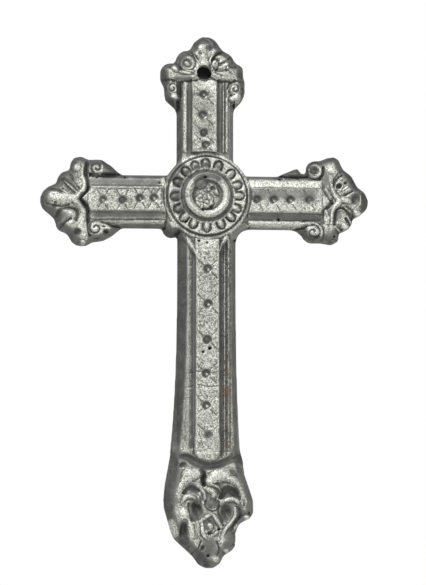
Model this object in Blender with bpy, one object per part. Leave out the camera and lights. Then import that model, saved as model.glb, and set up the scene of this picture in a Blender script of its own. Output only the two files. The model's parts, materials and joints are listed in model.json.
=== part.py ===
"""A cast metal cross that hangs flat on a wall.

One solid casting. Its flat back lies on the plane y = 0, its face looks towards -Y and the
axes of its shaft and arms cross above the origin. The forms are laid out flat on their
backs (x across, y up the cross, z the height of the relief), fused, trimmed and stood up.
"""

import math

import bmesh
import bpy
from mathutils import Matrix, Vector

MM = 0.001

# Reach of the casting from the point where its axes cross
TOP_REACH = 69.0 * MM
LEFT_REACH = 68.3 * MM
RIGHT_REACH = 66.6 * MM
FOOT_REACH = 150.8 * MM

# Half widths at the back, and how much the shaft widens on its way down to the foot
ARM_HALF_WIDTH = 11.1 * MM
TOP_HALF_WIDTH = 11.8 * MM
TOP_SHIFT = 0.6 * MM
SHAFT_HALF_WIDTH = 12.1 * MM
SHAFT_LEFT_FLARE = 2.9 * MM
SHAFT_RIGHT_FLARE = 1.8 * MM
FLARE_POWER = 3

# Section of the arms and shaft: a straight edge, a sloping wall, a rim, a cove and a panel
EDGE_HEIGHT = 1.2 * MM
RIM_HALF_WIDTH = 9.9 * MM
RIM_WIDTH = 2.5 * MM
RIM_HEIGHT = 5.2 * MM
RIM_CROWN = 0.6 * MM
VALLEY_HALF_WIDTH = 5.8 * MM
VALLEY_HEIGHT = 4.7 * MM
PANEL_HALF_WIDTH = 4.7 * MM
PANEL_HEIGHT = 7.6 * MM
ARM_START_SLOPE = 0.8 * MM
CORNER_RADIUS = 5.5 * MM
CORNER_OVERLAP = 2.0 * MM
CORNER_STEPS = 6
CORNER_DROP = 0.6 * MM
LUMP_RADIUS = 3.9 * MM
LUMP_OUT = 2.4 * MM
LUMP_SHOULDER = 0.8 * MM

# Studs along the panels
STUD_RADIUS = 1.8 * MM
STUD_HEIGHT = 0.5 * MM
SHAFT_STUDS = 6
SHAFT_FIRST_STUD = 27.2 * MM
SHAFT_STUD_PITCH = 14.8 * MM
SHAFT_PITCH_GROWTH = -0.55 * MM
ARM_STUDS = 4
ARM_FIRST_STUD = 21.2 * MM
ARM_STUD_PITCH = 6.3 * MM
ARM_PITCH_GROWTH = 0.8 * MM
TOP_STUDS = 4
TOP_FIRST_STUD = 24.1 * MM
TOP_STUD_PITCH = 5.4 * MM
TOP_PITCH_GROWTH = 1.5 * MM

# Medallion over the crossing
MEDALLION_RISE = 2.2 * MM
MEDALLION_RADIUS = 18.4 * MM
MEDALLION_WEB_HEIGHT = 5.4 * MM
MEDALLION_GROOVE_RADIUS = 16.2 * MM
MEDALLION_GROOVE_DEPTH = 0.6 * MM
MEDALLION_GAP = 0.2 * MM
MEDALLION_STEP = 0.5 * MM
MEDALLION_FIELD_HEIGHT = 7.0 * MM
EGG_COUNT = 16
EGG_RING_RADIUS = 13.0 * MM
EGG_HALF_LENGTH = 2.7 * MM
EGG_HALF_WIDTH = 1.6 * MM
EGG_HEIGHT = 1.1 * MM
RING_OUTER_RADIUS = 9.5 * MM
RING_INNER_RADIUS = 6.3 * MM
RING_HEIGHT = 9.8 * MM
BOSS_HEIGHT = 9.6 * MM
BOSS_PETALS = 6

# Shell ends
SHELL_LENGTH = 32.2 * MM
TOP_SHELL_LENGTH = 30.6 * MM
SHELL_PLATE_HEIGHT = 4.2 * MM
SHELL_EDGE_HEIGHT = 4.4 * MM
SHELL_CREST_HEIGHT = 6.8 * MM
SHELL_ROOT_HEIGHT = 7.6 * MM
VOLUTE_HEIGHT = 6.2 * MM
DRAFT = 1.1 * MM
PETAL_ROOT = 0.53
PETAL_SET_BACK = 0.3 * MM
ROOT_SPREAD = 0.15
ROOT_SHARE = 0.5
VOLUTE_STEP = 0.5 * MM
TAIL_DROP = 1.4 * MM
TAIL_RADIUS = 1.1 * MM
ARM_END = 0.60

# Each end in its own numbers, in mm across and up from the crossing. The outline is its edge at
# the back; petals and volutes are (across, up, radius); tails are the points where volutes run out
TOP_OUTLINE = (
    (-9.6, 36.0), (-12.6, 37.4), (-13.1, 38.7), (-17.2, 42.4), (-17.7, 47.7), (-19.2, 50.7), (-19.1, 54.8),
    (-18.0, 56.6), (-16.8, 57.5), (-13.5, 57.7), (-11.3, 61.9), (-9.8, 62.9), (-7.0, 63.3), (-5.1, 66.8),
    (-1.9, 69.0), (1.6, 68.7), (3.8, 67.3), (6.5, 63.4), (10.1, 61.2), (12.0, 58.0), (14.6, 56.6),
    (15.2, 55.2), (15.2, 51.9), (15.9, 50.2), (15.6, 44.1), (14.3, 41.7), (11.5, 38.8), (11.2, 37.4),
    (8.4, 36.0),
)
TOP_PETALS = (
    (-0.3, 63.0, 6.2), (-8.6, 58.4, 4.6), (7.2, 58.2, 4.5), (-15.2, 53.6, 4.0), (11.7, 53.9, 3.7),
)
TOP_VOLUTES = ((-13.6, 46.6, 4.0), (11.6, 46.2, 3.9))
TOP_TAILS = ((-11.6, 39.0), (10.0, 39.2))
LEFT_OUTLINE = (
    (-34.0, -9.0), (-35.2, -11.4), (-36.9, -12.8), (-39.1, -14.6), (-42.7, -16.5), (-46.8, -17.0),
    (-49.6, -18.6), (-52.2, -18.7), (-53.4, -18.3), (-55.4, -17.0), (-56.9, -14.3), (-61.7, -10.2),
    (-62.8, -7.2), (-67.5, -3.2), (-68.4, -0.7), (-68.4, 1.7), (-67.1, 4.4), (-64.9, 6.1), (-61.8, 7.4),
    (-61.4, 9.5), (-59.7, 11.9), (-56.4, 12.9), (-56.0, 16.0), (-54.5, 18.1), (-51.6, 18.6), (-48.1, 17.1),
    (-43.6, 17.4), (-39.1, 14.8), (-36.9, 12.6), (-35.2, 11.4), (-34.0, 9.0),
)
LEFT_PETALS = (
    (-62.0, 0.3, 6.5), (-57.3, 8.5, 4.3), (-58.2, -9.1, 4.3), (-52.6, 14.8, 3.8), (-52.4, -14.7, 4.0),
)
LEFT_VOLUTES = ((-45.3, 13.4, 3.8), (-45.6, -13.0, 3.9))
LEFT_TAILS = ((-37.6, 11.4), (-37.6, -11.4))
RIGHT_OUTLINE = (
    (28.6, 9.0), (30.0, 11.6), (36.8, 14.4), (37.7, 14.4), (38.8, 12.4), (40.3, 12.1), (41.0, 13.3),
    (40.8, 15.0), (42.1, 16.9), (44.0, 17.8), (46.7, 17.8), (49.4, 19.0), (52.5, 19.5), (54.4, 18.5),
    (56.4, 14.2), (59.7, 11.7), (62.3, 6.9), (65.2, 4.8), (66.7, 1.4), (66.5, -1.1), (65.8, -2.5),
    (63.3, -4.9), (60.2, -6.5), (59.8, -8.6), (58.8, -10.3), (56.5, -11.7), (54.5, -12.2), (54.4, -15.5),
    (51.3, -17.3), (47.0, -16.5), (43.0, -16.6), (41.6, -16.2), (39.9, -14.9), (38.6, -12.7),
    (37.3, -11.7), (35.0, -11.2), (34.0, -9.0),
)
RIGHT_PETALS = (
    (60.9, 0.8, 5.8), (56.6, 8.8, 4.5), (55.6, -7.4, 4.3), (51.4, 15.1, 4.2), (50.9, -13.3, 3.9),
)
RIGHT_VOLUTES = ((44.7, 14.0, 3.7), (43.3, -12.6, 3.9))
RIGHT_TAILS = ((42.8, 12.2), (37.6, -10.8))
FOOT_OUTLINE = (
    (9.0, -99.5), (13.5, -101.0), (15.2, -107.1), (15.2, -110.9), (19.2, -122.7), (19.3, -128.1),
    (17.8, -130.3), (14.3, -132.0), (13.1, -133.1), (11.9, -136.4), (11.7, -141.8), (10.5, -143.5),
    (7.0, -145.7), (5.6, -148.8), (2.7, -150.8), (-0.4, -150.8), (-3.4, -149.3), (-5.6, -146.1),
    (-13.4, -138.9), (-14.7, -136.0), (-17.6, -125.9), (-17.7, -122.4), (-17.2, -116.9), (-14.8, -103.7),
    (-14.4, -101.0), (-9.0, -99.5),
)

# Nail hole in the top shell
HOLE_RADIUS = 3.15 * MM
HOLE_DROP = 15.7 * MM
HOLE_SHIFT = -1.2 * MM

# Leaf ornament at the foot
FOOT_LENGTH = 47.4 * MM
FOOT_PLATE_HEIGHT = 4.45 * MM
FOOT_GROUND_HEIGHT = 4.6 * MM
FOOT_BAND_HEIGHT = 6.6 * MM
FOOT_CREST_HEIGHT = 8.0 * MM

# Fineness of the round forms, and how far they run below the back before it is trimmed
ROUND_SIDES = 12
STROKE_SIDES = 8
MEDALLION_SIDES = 32
HOLE_SIDES = 20
TRIM = 1.0 * MM
CORE_DROP = 0.2 * MM
CORE_STEP = 0.05 * MM
INSET_SHARE = 0.45
CLEAN_DISTANCE = 0.002 * MM

UP, DOWN, RIGHT, LEFT = math.radians(90), math.radians(-90), 0.0, math.radians(180)


def turn(angle):
    """Turns an arm's own axes, x outward along it, into the plane of the cross."""
    return Matrix.Rotation(angle, 4, "Z")


def new_form(bm, name, place=None):
    """Makes an object of a finished mesh, with its faces pointing out."""
    if place is not None:
        bmesh.ops.transform(bm, matrix=place, verts=bm.verts)
    bmesh.ops.recalc_face_normals(bm, faces=bm.faces)
    mesh = bpy.data.meshes.new(name)
    bm.to_mesh(mesh)
    bm.free()
    form = bpy.data.objects.new(name, mesh)
    bpy.context.scene.collection.objects.link(form)
    return form


def skin(rings, name, place=None):
    """A closed solid through rings of points, with a flat cap at each end."""
    bm = bmesh.new()
    loops = [[bm.verts.new(point) for point in ring] for ring in rings]
    count = len(rings[0])
    for near, far in zip(loops, loops[1:]):
        for i in range(count):
            j = (i + 1) % count
            bm.faces.new((near[i], near[j], far[j], far[i]))
    bm.faces.new(loops[0])
    bm.faces.new(loops[-1])
    return new_form(bm, name, place)


def turned(profile, sides, name, place=None):
    """A solid turned about the z axis from (radius, height) points, bottom to top."""
    bm = bmesh.new()
    points = [bm.verts.new((radius, 0.0, height)) for radius, height in profile]
    line = [bm.edges.new(pair) for pair in zip(points, points[1:])]
    axis = (0.0, 0.0, 1.0)
    bmesh.ops.spin(
        bm, geom=points + line, cent=(0.0, 0.0, 0.0), axis=axis, angle=math.tau, steps=sides, use_merge=True
    )
    bmesh.ops.remove_doubles(bm, verts=bm.verts, dist=CLEAN_DISTANCE / 2)
    return new_form(bm, name, place)


def round_points(x, y, rings, sides):
    """Points on level rings, each (radius, height), around one upright line."""
    points = []
    for radius, height in rings:
        for i in range(sides):
            angle = math.tau * i / sides
            points.append(Vector((x + radius * math.cos(angle), y + radius * math.sin(angle), height)))
    return points


def dome_points(x, y, radius, edge, crest, sides=ROUND_SIDES):
    """Points of a round dome: a drafted wall from the back, then a rounded top."""
    shoulder = radius - min(DRAFT, radius / 3)
    rings = [(radius, -TRIM), (radius, EDGE_HEIGHT), (shoulder, edge)]
    for lift in (0.5, 0.86):
        rings.append((shoulder * math.sqrt(1 - lift * lift), edge + lift * (crest - edge)))
    return round_points(x, y, rings, sides) + [Vector((x, y, crest))]


def hull(points, name, place=None):
    """The convex solid around a set of points."""
    bm = bmesh.new()
    for point in points:
        bm.verts.new(point)
    done = bmesh.ops.convex_hull(bm, input=bm.verts)
    spare = done["geom_interior"] + done["geom_unused"]
    inner = [item for item in set(spare) if isinstance(item, bmesh.types.BMVert)]
    bmesh.ops.delete(bm, geom=inner, context="VERTS")
    bmesh.ops.dissolve_limit(
        bm, angle_limit=math.radians(0.5), verts=bm.verts, edges=bm.edges, use_dissolve_boundaries=False
    )
    return new_form(bm, name, place)


def lobe(root, tip, edge, name, place=None):
    """A leaf or petal: the hull of two domes, each (x, y, radius, crest)."""
    points = []
    for x, y, radius, crest in (root, tip):
        points += dome_points(x, y, radius, edge, crest)
    return hull(points, name, place)


def inset(outline, distance):
    """The outline's points moved inward square to it, and less where they stand close together."""
    points = [Vector(point) for point in outline]
    area = sum(a.x * b.y - b.x * a.y for a, b in zip(points, points[1:] + points[:1]))
    inward = 1.0 if area > 0 else -1.0
    moved = []
    for i, point in enumerate(points):
        before = point - points[i - 1]
        after = points[(i + 1) % len(points)] - point
        step = min(distance, INSET_SHARE * before.length, INSET_SHARE * after.length)
        along = (before.normalized() + after.normalized()).normalized()
        moved.append(point + inward * step * Vector((-along.y, along.x)))
    return moved


def plate(outline, height, name):
    """The ground of one end: its measured outline, with a straight edge and a drafted wall."""
    edge = [Vector(point) * MM for point in outline]
    crown = inset(edge, DRAFT)
    rings = []
    for points, level in ((edge, -TRIM), (edge, EDGE_HEIGHT), (crown, height)):
        rings.append([(point.x, point.y, level) for point in points])
    return skin(rings, name)


def section(base_half):
    """Half of an arm's cross-section, from the back out to the edge and in to the panel."""
    rim_half = min(RIM_HALF_WIDTH, base_half - DRAFT / 2)
    inner = rim_half - RIM_WIDTH
    valley_half = min(VALLEY_HALF_WIDTH, inner - DRAFT / 4)
    panel_half = min(PANEL_HALF_WIDTH, valley_half - DRAFT / 4)
    return [
        (base_half, -TRIM),
        (base_half, EDGE_HEIGHT),
        (rim_half, RIM_HEIGHT),
        (rim_half - RIM_WIDTH / 2, RIM_HEIGHT + RIM_CROWN),
        (inner, RIM_HEIGHT),
        (valley_half, VALLEY_HEIGHT),
        (panel_half, PANEL_HEIGHT),
    ]


def section_ring(x, left_half, right_half, cap=PANEL_HEIGHT):
    """The whole cross-section as a ring of points at x along the arm, cut level at cap."""
    left = [(x, -across, min(height, cap)) for across, height in section(left_half)]
    right = [(x, across, min(height, cap)) for across, height in reversed(section(right_half))]
    return left + right


def arm(place, start, end, base_half, core, name, flares=(0.0, 0.0)):
    """An arm of the cross: a low core under the medallion, then the moulded section.

    The arm widens by its flares, one for each side, along the way from start to end."""
    steps = 8 if any(flares) else 1
    low_start = start - ARM_START_SLOPE
    rings = [section_ring(x, base_half, base_half, core) for x in (0.0, low_start)]
    for i in range(steps + 1):
        share = i / steps
        halves = [base_half + flare * share ** FLARE_POWER for flare in flares]
        rings.append(section_ring(start + share * (end - start), halves[0], halves[1]))
    return skin(rings, name, place)


def stroke(points, radius, edge, crest, name, place=None):
    """A raised line of even width through (x, y) points, one round-ended piece for each stretch."""
    pieces = []
    for near, far in zip(points, points[1:]):
        corners = []
        for x, y in (near, far):
            corners += dome_points(x, y, radius, edge, crest, STROKE_SIDES)
        pieces.append(hull(corners, name, place))
    return pieces


def bow(centre, half_width, rise, start, end, steps):
    """Points along part of an ellipse, in degrees from its +x end."""
    points = []
    for i in range(steps + 1):
        angle = math.radians(start + (end - start) * i / steps)
        points.append((centre[0] + rise * math.sin(angle), centre[1] + half_width * math.cos(angle)))
    return points


def studs(place, first, pitch, growth, count):
    """A row of round-headed studs along an arm's panel, the pitch growing outward."""
    profile = [
        (0.0, RIM_HEIGHT),
        (STUD_RADIUS, RIM_HEIGHT),
        (STUD_RADIUS, PANEL_HEIGHT + STUD_HEIGHT * 0.35),
        (STUD_RADIUS * 0.66, PANEL_HEIGHT + STUD_HEIGHT * 0.85),
        (0.0, PANEL_HEIGHT + STUD_HEIGHT),
    ]
    row = []
    along = first
    for i in range(count):
        row.append(turned(profile, ROUND_SIDES, "stud", place @ Matrix.Translation((along, 0.0, 0.0))))
        along += pitch + i * growth
    return row


def medallion():
    """The round medallion: web, groove, rim, a ring of eggs, a smooth ring and a worn boss."""
    centre = Matrix.Translation((0.0, MEDALLION_RISE, 0.0))
    rim = MEDALLION_GROOVE_RADIUS - MEDALLION_STEP
    ring_middle = (RING_OUTER_RADIUS + RING_INNER_RADIUS) / 2
    ring_crown = (RING_OUTER_RADIUS - RING_INNER_RADIUS) / 4
    profile = [
        (0.0, -TRIM),
        (MEDALLION_RADIUS, -TRIM),
        (MEDALLION_RADIUS, EDGE_HEIGHT),
        (MEDALLION_RADIUS - DRAFT / 2, MEDALLION_WEB_HEIGHT),
        (MEDALLION_GROOVE_RADIUS + MEDALLION_STEP, MEDALLION_WEB_HEIGHT),
        (MEDALLION_GROOVE_RADIUS, MEDALLION_WEB_HEIGHT - MEDALLION_GROOVE_DEPTH),
        (rim, MEDALLION_FIELD_HEIGHT),
        (RING_OUTER_RADIUS + MEDALLION_STEP, MEDALLION_FIELD_HEIGHT),
        (RING_OUTER_RADIUS, MEDALLION_FIELD_HEIGHT - MEDALLION_STEP),
        (ring_middle + ring_crown, RING_HEIGHT - MEDALLION_STEP / 2),
        (ring_middle, RING_HEIGHT),
        (ring_middle - ring_crown, RING_HEIGHT - MEDALLION_STEP / 2),
        (RING_INNER_RADIUS, MEDALLION_FIELD_HEIGHT),
        (0.0, MEDALLION_FIELD_HEIGHT),
    ]
    forms = [turned(profile, MEDALLION_SIDES, "medallion", centre)]
    for i in range(EGG_COUNT):
        spoke = Matrix.Rotation(math.tau * i / EGG_COUNT, 4, "Z")
        forms.append(egg("egg", centre @ spoke @ Matrix.Translation((EGG_RING_RADIUS, 0.0, 0.0))))
    forms += boss(centre)
    return forms


def egg(name, place):
    """One egg of the medallion, half sunk in its field and lying along the radius."""
    bm = bmesh.new()
    bmesh.ops.create_uvsphere(bm, u_segments=10, v_segments=6, radius=1.0)
    lift = Matrix.Translation((0.0, 0.0, MEDALLION_FIELD_HEIGHT))
    size = Matrix.Diagonal((EGG_HALF_LENGTH, EGG_HALF_WIDTH, EGG_HEIGHT, 1.0))
    return new_form(bm, name, place @ lift @ size)


def boss(centre):
    """The worn flower in the middle of the medallion: a low dome inside a ring of petals."""
    reach = RING_INNER_RADIUS * 0.62
    profile = [
        (0.0, EDGE_HEIGHT),
        (reach, EDGE_HEIGHT),
        (reach, MEDALLION_FIELD_HEIGHT),
        (reach * 0.6, BOSS_HEIGHT - MEDALLION_STEP),
        (0.0, BOSS_HEIGHT),
    ]
    forms = [turned(profile, ROUND_SIDES, "boss", centre)]
    for i in range(BOSS_PETALS):
        spoke = Matrix.Rotation(math.tau * i / BOSS_PETALS, 4, "Z")
        bm = bmesh.new()
        bmesh.ops.create_uvsphere(bm, u_segments=8, v_segments=6, radius=1.0)
        lift = Matrix.Translation((reach, 0.0, MEDALLION_FIELD_HEIGHT))
        rise = (BOSS_HEIGHT - MEDALLION_FIELD_HEIGHT) * 0.75
        size = Matrix.Diagonal((reach * 0.5, reach * 0.42, rise, 1.0))
        forms.append(new_form(bm, "boss_petal", centre @ spoke @ lift @ size))
    return forms


def shell(name, tip, outline, petals, volutes, tails):
    """A shell end: a plate to the outline, petals from one root, and a volute on each side.

    The root lies on the arm's axis, inward from the tip; tip and root are (x, y)."""
    forms = [plate(outline, SHELL_PLATE_HEIGHT, name + "_plate")]
    inward = -Vector(tip).normalized()
    root = Vector(tip) + inward * PETAL_ROOT * SHELL_LENGTH
    for x, y, radius in petals:
        spot = Vector((x, y)) * MM
        size = radius * MM - PETAL_SET_BACK
        base = root + (spot - root) * ROOT_SPREAD
        start = (base.x, base.y, size * ROOT_SHARE, SHELL_ROOT_HEIGHT)
        end = (spot.x, spot.y, size, SHELL_CREST_HEIGHT)
        forms.append(lobe(start, end, SHELL_EDGE_HEIGHT, name + "_petal"))
    for (x, y, radius), (tail_x, tail_y) in zip(volutes, tails):
        forms += volute(x * MM, y * MM, radius * MM - PETAL_SET_BACK, tail_x * MM, tail_y * MM)
    return forms


def volute(x, y, radius, tail_x, tail_y):
    """A scroll end: a disc with a raised rim and a round eye, running out in a low tail."""
    profile = [
        (0.0, -TRIM),
        (radius, -TRIM),
        (radius, EDGE_HEIGHT),
        (radius * 0.86, VOLUTE_HEIGHT - VOLUTE_STEP),
        (radius * 0.72, VOLUTE_HEIGHT),
        (radius * 0.58, VOLUTE_HEIGHT - 2 * VOLUTE_STEP),
        (radius * 0.36, VOLUTE_HEIGHT),
        (0.0, VOLUTE_HEIGHT + VOLUTE_STEP),
    ]
    disc = turned(profile, ROUND_SIDES, "volute", Matrix.Translation((x, y, 0.0)))
    low = VOLUTE_HEIGHT - TAIL_DROP
    start = (x, y, radius * 0.94, low)
    end = (tail_x, tail_y, TAIL_RADIUS, low)
    return [disc, lobe(start, end, low - VOLUTE_STEP, "volute_tail")]


def foot():
    """The leaf ornament at the foot.

    Places and radii are shares of its length: down from its top, then across to the right."""
    top = FOOT_REACH - FOOT_LENGTH
    place = turn(DOWN)

    def spot(down, across):
        return (top + down * FOOT_LENGTH, across * FOOT_LENGTH)

    def leaf(root, tip, crest, name):
        ends = []
        for down, across, radius in (root, tip):
            x, y = spot(down, across)
            ends.append((x, y, radius * FOOT_LENGTH, crest))
        return lobe(ends[0], ends[1], FOOT_GROUND_HEIGHT, name, place)

    def line(points, radius, crest, name):
        placed = [spot(down, across) for down, across in points]
        return stroke(placed, radius * FOOT_LENGTH, FOOT_GROUND_HEIGHT, crest, name, place)

    forms = [plate(FOOT_OUTLINE, FOOT_PLATE_HEIGHT, "foot_plate")]
    # Hanging swag under the panel, and the two arches that spread below the upper leaves
    crest, band = FOOT_CREST_HEIGHT, FOOT_BAND_HEIGHT
    arch = (crest + band) / 2
    forms += line(bow((0.0, 0.03), 0.215, 0.10, 175, 5, 5), 0.045, band, "swag")
    forms += line(bow((0.50, -0.12), 0.165, -0.24, 100, 195, 4), 0.038, arch, "left_arch")
    forms += line(bow((0.47, 0.18), 0.15, -0.21, 135, -15, 5), 0.038, arch, "right_arch")
    # Upper leaves, with a deep gap left of the middle
    forms.append(leaf((0.18, -0.14, 0.08), (0.27, -0.06, 0.045), crest, "upper_left_leaf"))
    forms.append(leaf((0.17, 0.20, 0.07), (0.25, 0.05, 0.06), crest, "upper_right_leaf"))
    forms.append(leaf((0.27, 0.03, 0.06), (0.36, 0.04, 0.045), crest, "middle_leaf"))
    # Scrolls under the arches, each with a round head and a stem running down and inward
    forms.append(leaf((0.41, -0.15, 0.065), (0.54, -0.14, 0.036), crest, "left_scroll"))
    forms.append(leaf((0.55, -0.14, 0.034), (0.73, -0.11, 0.052), band + 0.6 * MM, "left_stem"))
    forms.append(leaf((0.42, 0.20, 0.065), (0.55, 0.19, 0.036), crest, "right_scroll"))
    forms.append(leaf((0.56, 0.185, 0.034), (0.73, 0.11, 0.052), band + 0.6 * MM, "right_stem"))
    # Bud, calyx and cup down the middle, then the drop and the round tip
    forms.append(leaf((0.43, 0.035, 0.052), (0.44, 0.035, 0.052), crest, "bud"))
    forms.append(leaf((0.55, 0.02, 0.05), (0.60, 0.02, 0.065), crest, "calyx"))
    forms.append(leaf((0.70, 0.02, 0.055), (0.82, 0.028, 0.045), band, "cup"))
    forms.append(leaf((0.91, 0.012, 0.075), (0.915, 0.012, 0.075), band, "tip_lobe"))
    # Curled edges at the shoulders and on the two lower lobes
    forms.append(leaf((0.50, 0.335, 0.05), (0.56, 0.23, 0.04), band, "right_curl"))
    forms.append(leaf((0.57, -0.26, 0.05), (0.54, -0.20, 0.035), band, "left_curl"))
    forms.append(leaf((0.78, 0.18, 0.055), (0.85, 0.10, 0.04), band, "right_lobe"))
    forms.append(leaf((0.76, -0.17, 0.055), (0.85, -0.10, 0.04), band, "left_lobe"))
    return forms


def lump(x, y, radius, crest, name):
    """A low round lump standing on the back."""
    return lobe((x, y, radius, crest), (x, y, radius * 0.98, crest), crest - LUMP_SHOULDER, name)


def corner_fillet():
    """The hollow fillet between the right arm and the shaft."""
    x = SHAFT_HALF_WIDTH
    y = -ARM_HALF_WIDTH
    overlap = CORNER_OVERLAP
    radius = CORNER_RADIUS
    outline = [(x - overlap, y + overlap), (x - overlap, y - radius)]
    for i in range(CORNER_STEPS + 1):
        angle = math.radians(180 - 90 * i / CORNER_STEPS)
        outline.append((x + radius + radius * math.cos(angle), y - radius + radius * math.sin(angle)))
    outline.append((x + radius, y + overlap))
    rings = [[(px, py, z) for px, py in outline] for z in (-TRIM, RIM_HEIGHT - CORNER_DROP)]
    return skin(rings, "corner_fillet")


def join(base, others, operation):
    """Fuses the other forms with the base, or cuts them from it, and removes them."""
    group = bpy.data.collections.new("others")
    for form in others:
        group.objects.link(form)
    change = base.modifiers.new("change", "BOOLEAN")
    change.operation = operation
    change.solver = "EXACT"
    change.operand_type = "COLLECTION"
    change.collection = group
    graph = bpy.context.evaluated_depsgraph_get()
    graph.update()
    result = bpy.data.meshes.new_from_object(base.evaluated_get(graph))
    base.modifiers.clear()
    base.data = result
    bpy.data.collections.remove(group)
    for form in others:
        bpy.data.objects.remove(form)


def silver_paint():
    """Dull silver paint over the rough casting."""
    paint = bpy.data.materials.new("silver_paint")
    paint.use_nodes = True
    shader = paint.node_tree.nodes["Principled BSDF"]
    shader.inputs["Base Color"].default_value = (0.46, 0.46, 0.43, 1.0)
    shader.inputs["Metallic"].default_value = 0.85
    shader.inputs["Roughness"].default_value = 0.5
    return paint


def cross():
    shaft_end = FOOT_REACH - FOOT_LENGTH
    side_end = ARM_END * SHELL_LENGTH
    top_end = TOP_REACH - ARM_END * TOP_SHELL_LENGTH
    start = MEDALLION_RADIUS + MEDALLION_GAP
    side_start = math.sqrt(start ** 2 - (RIM_HALF_WIDTH - RIM_WIDTH - MEDALLION_RISE) ** 2)
    core = MEDALLION_WEB_HEIGHT - MEDALLION_GROOVE_DEPTH - CORE_DROP
    down, up, left, right = (turn(angle) for angle in (DOWN, UP, LEFT, RIGHT))
    up = Matrix.Translation((-TOP_SHIFT, 0.0, 0.0)) @ up
    flares = (SHAFT_LEFT_FLARE, SHAFT_RIGHT_FLARE)
    body = arm(down, start - MEDALLION_RISE, shaft_end, SHAFT_HALF_WIDTH, core, "cross", flares)
    forms = [
        arm(up, start + MEDALLION_RISE, top_end, TOP_HALF_WIDTH, core - CORE_STEP, "top_arm"),
        arm(left, side_start, LEFT_REACH - side_end, ARM_HALF_WIDTH, core - 2 * CORE_STEP, "left_arm"),
        arm(right, side_start, RIGHT_REACH - side_end, ARM_HALF_WIDTH, core - 3 * CORE_STEP, "right_arm"),
    ]
    forms += studs(down, SHAFT_FIRST_STUD, SHAFT_STUD_PITCH, SHAFT_PITCH_GROWTH, SHAFT_STUDS)
    forms += studs(left, ARM_FIRST_STUD, ARM_STUD_PITCH, ARM_PITCH_GROWTH, ARM_STUDS)
    forms += studs(right, ARM_FIRST_STUD, ARM_STUD_PITCH, ARM_PITCH_GROWTH, ARM_STUDS)
    forms += studs(up, TOP_FIRST_STUD, TOP_STUD_PITCH, TOP_PITCH_GROWTH, TOP_STUDS)
    forms += medallion()
    forms += shell("left", (-LEFT_REACH, 0.0), LEFT_OUTLINE, LEFT_PETALS, LEFT_VOLUTES, LEFT_TAILS)
    forms += shell("right", (RIGHT_REACH, 0.0), RIGHT_OUTLINE, RIGHT_PETALS, RIGHT_VOLUTES, RIGHT_TAILS)
    forms += shell("top", (-TOP_SHIFT, TOP_REACH), TOP_OUTLINE, TOP_PETALS, TOP_VOLUTES, TOP_TAILS)
    forms += foot()
    lump_x = -SHAFT_HALF_WIDTH - LUMP_OUT
    forms.append(lump(lump_x, -ARM_HALF_WIDTH, LUMP_RADIUS, RIM_HEIGHT, "corner_lump"))
    forms.append(corner_fillet())
    join(body, forms, "UNION")
    hole = turned(
        [(0.0, -2 * TRIM), (HOLE_RADIUS, -2 * TRIM), (HOLE_RADIUS, 2 * RING_HEIGHT), (0.0, 2 * RING_HEIGHT)],
        HOLE_SIDES,
        "hole",
        Matrix.Translation((HOLE_SHIFT, TOP_REACH - HOLE_DROP, 0.0)),
    )
    span = 2 * (FOOT_REACH + TOP_REACH)
    ground = bmesh.new()
    bmesh.ops.create_cube(ground, size=1.0)
    below = Matrix.Translation((0.0, 0.0, -2 * TRIM)) @ Matrix.Diagonal((span, span, 4 * TRIM, 1.0))
    join(body, [hole, new_form(ground, "below_back", below)], "DIFFERENCE")
    body.data.transform(Matrix.Rotation(math.radians(90), 4, "X"))
    body.data.materials.clear()
    body.data.materials.append(silver_paint())
    body.data.shade_smooth()
    body.data.set_sharp_from_angle(angle=math.radians(35))


def main():
    for item in list(bpy.data.objects):
        bpy.data.objects.remove(item)
    cross()


main()
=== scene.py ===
# %% [markdown]
# # A cast metal cross
# The real cross is one sand casting, brushed over with silver paint that has worn off the high places
# and darkened in the hollows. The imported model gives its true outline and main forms. This lesson takes
# a copy of that solid, melts finer forms into it, carves the fine relief and then paints it.

# %% Load the frame
import json
import math

import bpy
import numpy as np
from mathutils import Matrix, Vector
from mathutils.kdtree import KDTree

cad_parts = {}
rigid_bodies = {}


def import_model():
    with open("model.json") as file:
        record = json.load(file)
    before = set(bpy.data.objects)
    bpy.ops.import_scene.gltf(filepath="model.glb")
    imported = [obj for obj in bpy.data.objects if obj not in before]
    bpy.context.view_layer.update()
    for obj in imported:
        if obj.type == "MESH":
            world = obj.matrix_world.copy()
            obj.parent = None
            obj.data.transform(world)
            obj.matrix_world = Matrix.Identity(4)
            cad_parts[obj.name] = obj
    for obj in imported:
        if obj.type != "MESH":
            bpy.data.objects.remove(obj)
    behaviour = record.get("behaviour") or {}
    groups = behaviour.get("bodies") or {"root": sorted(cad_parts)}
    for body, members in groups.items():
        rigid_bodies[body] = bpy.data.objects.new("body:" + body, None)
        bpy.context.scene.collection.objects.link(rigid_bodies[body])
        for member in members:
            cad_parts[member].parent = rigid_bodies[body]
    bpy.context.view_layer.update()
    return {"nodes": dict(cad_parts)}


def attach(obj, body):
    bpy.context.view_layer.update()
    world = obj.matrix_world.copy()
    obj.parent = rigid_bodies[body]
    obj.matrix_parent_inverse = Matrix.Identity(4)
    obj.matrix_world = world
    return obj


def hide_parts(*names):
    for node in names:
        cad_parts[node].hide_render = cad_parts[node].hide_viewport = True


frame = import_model()

# %% [markdown]
# Places on the ornament are read off the picture, so they are written in its pixels, and one function
# turns them into millimetres on the cross. The picture was taken from a little to the left and below,
# so a point that stands out from the back is seen shifted, and the function takes that shift away.

# %% Picture and cross
MM = 0.001
MM_PER_PIXEL = 0.4135
AXIS_PX, AXIS_PY = 206.2, 203.0
SIGHT_RIGHT, SIGHT_UP = 0.075, 0.135
USUAL_HEIGHT = 6.5


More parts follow.
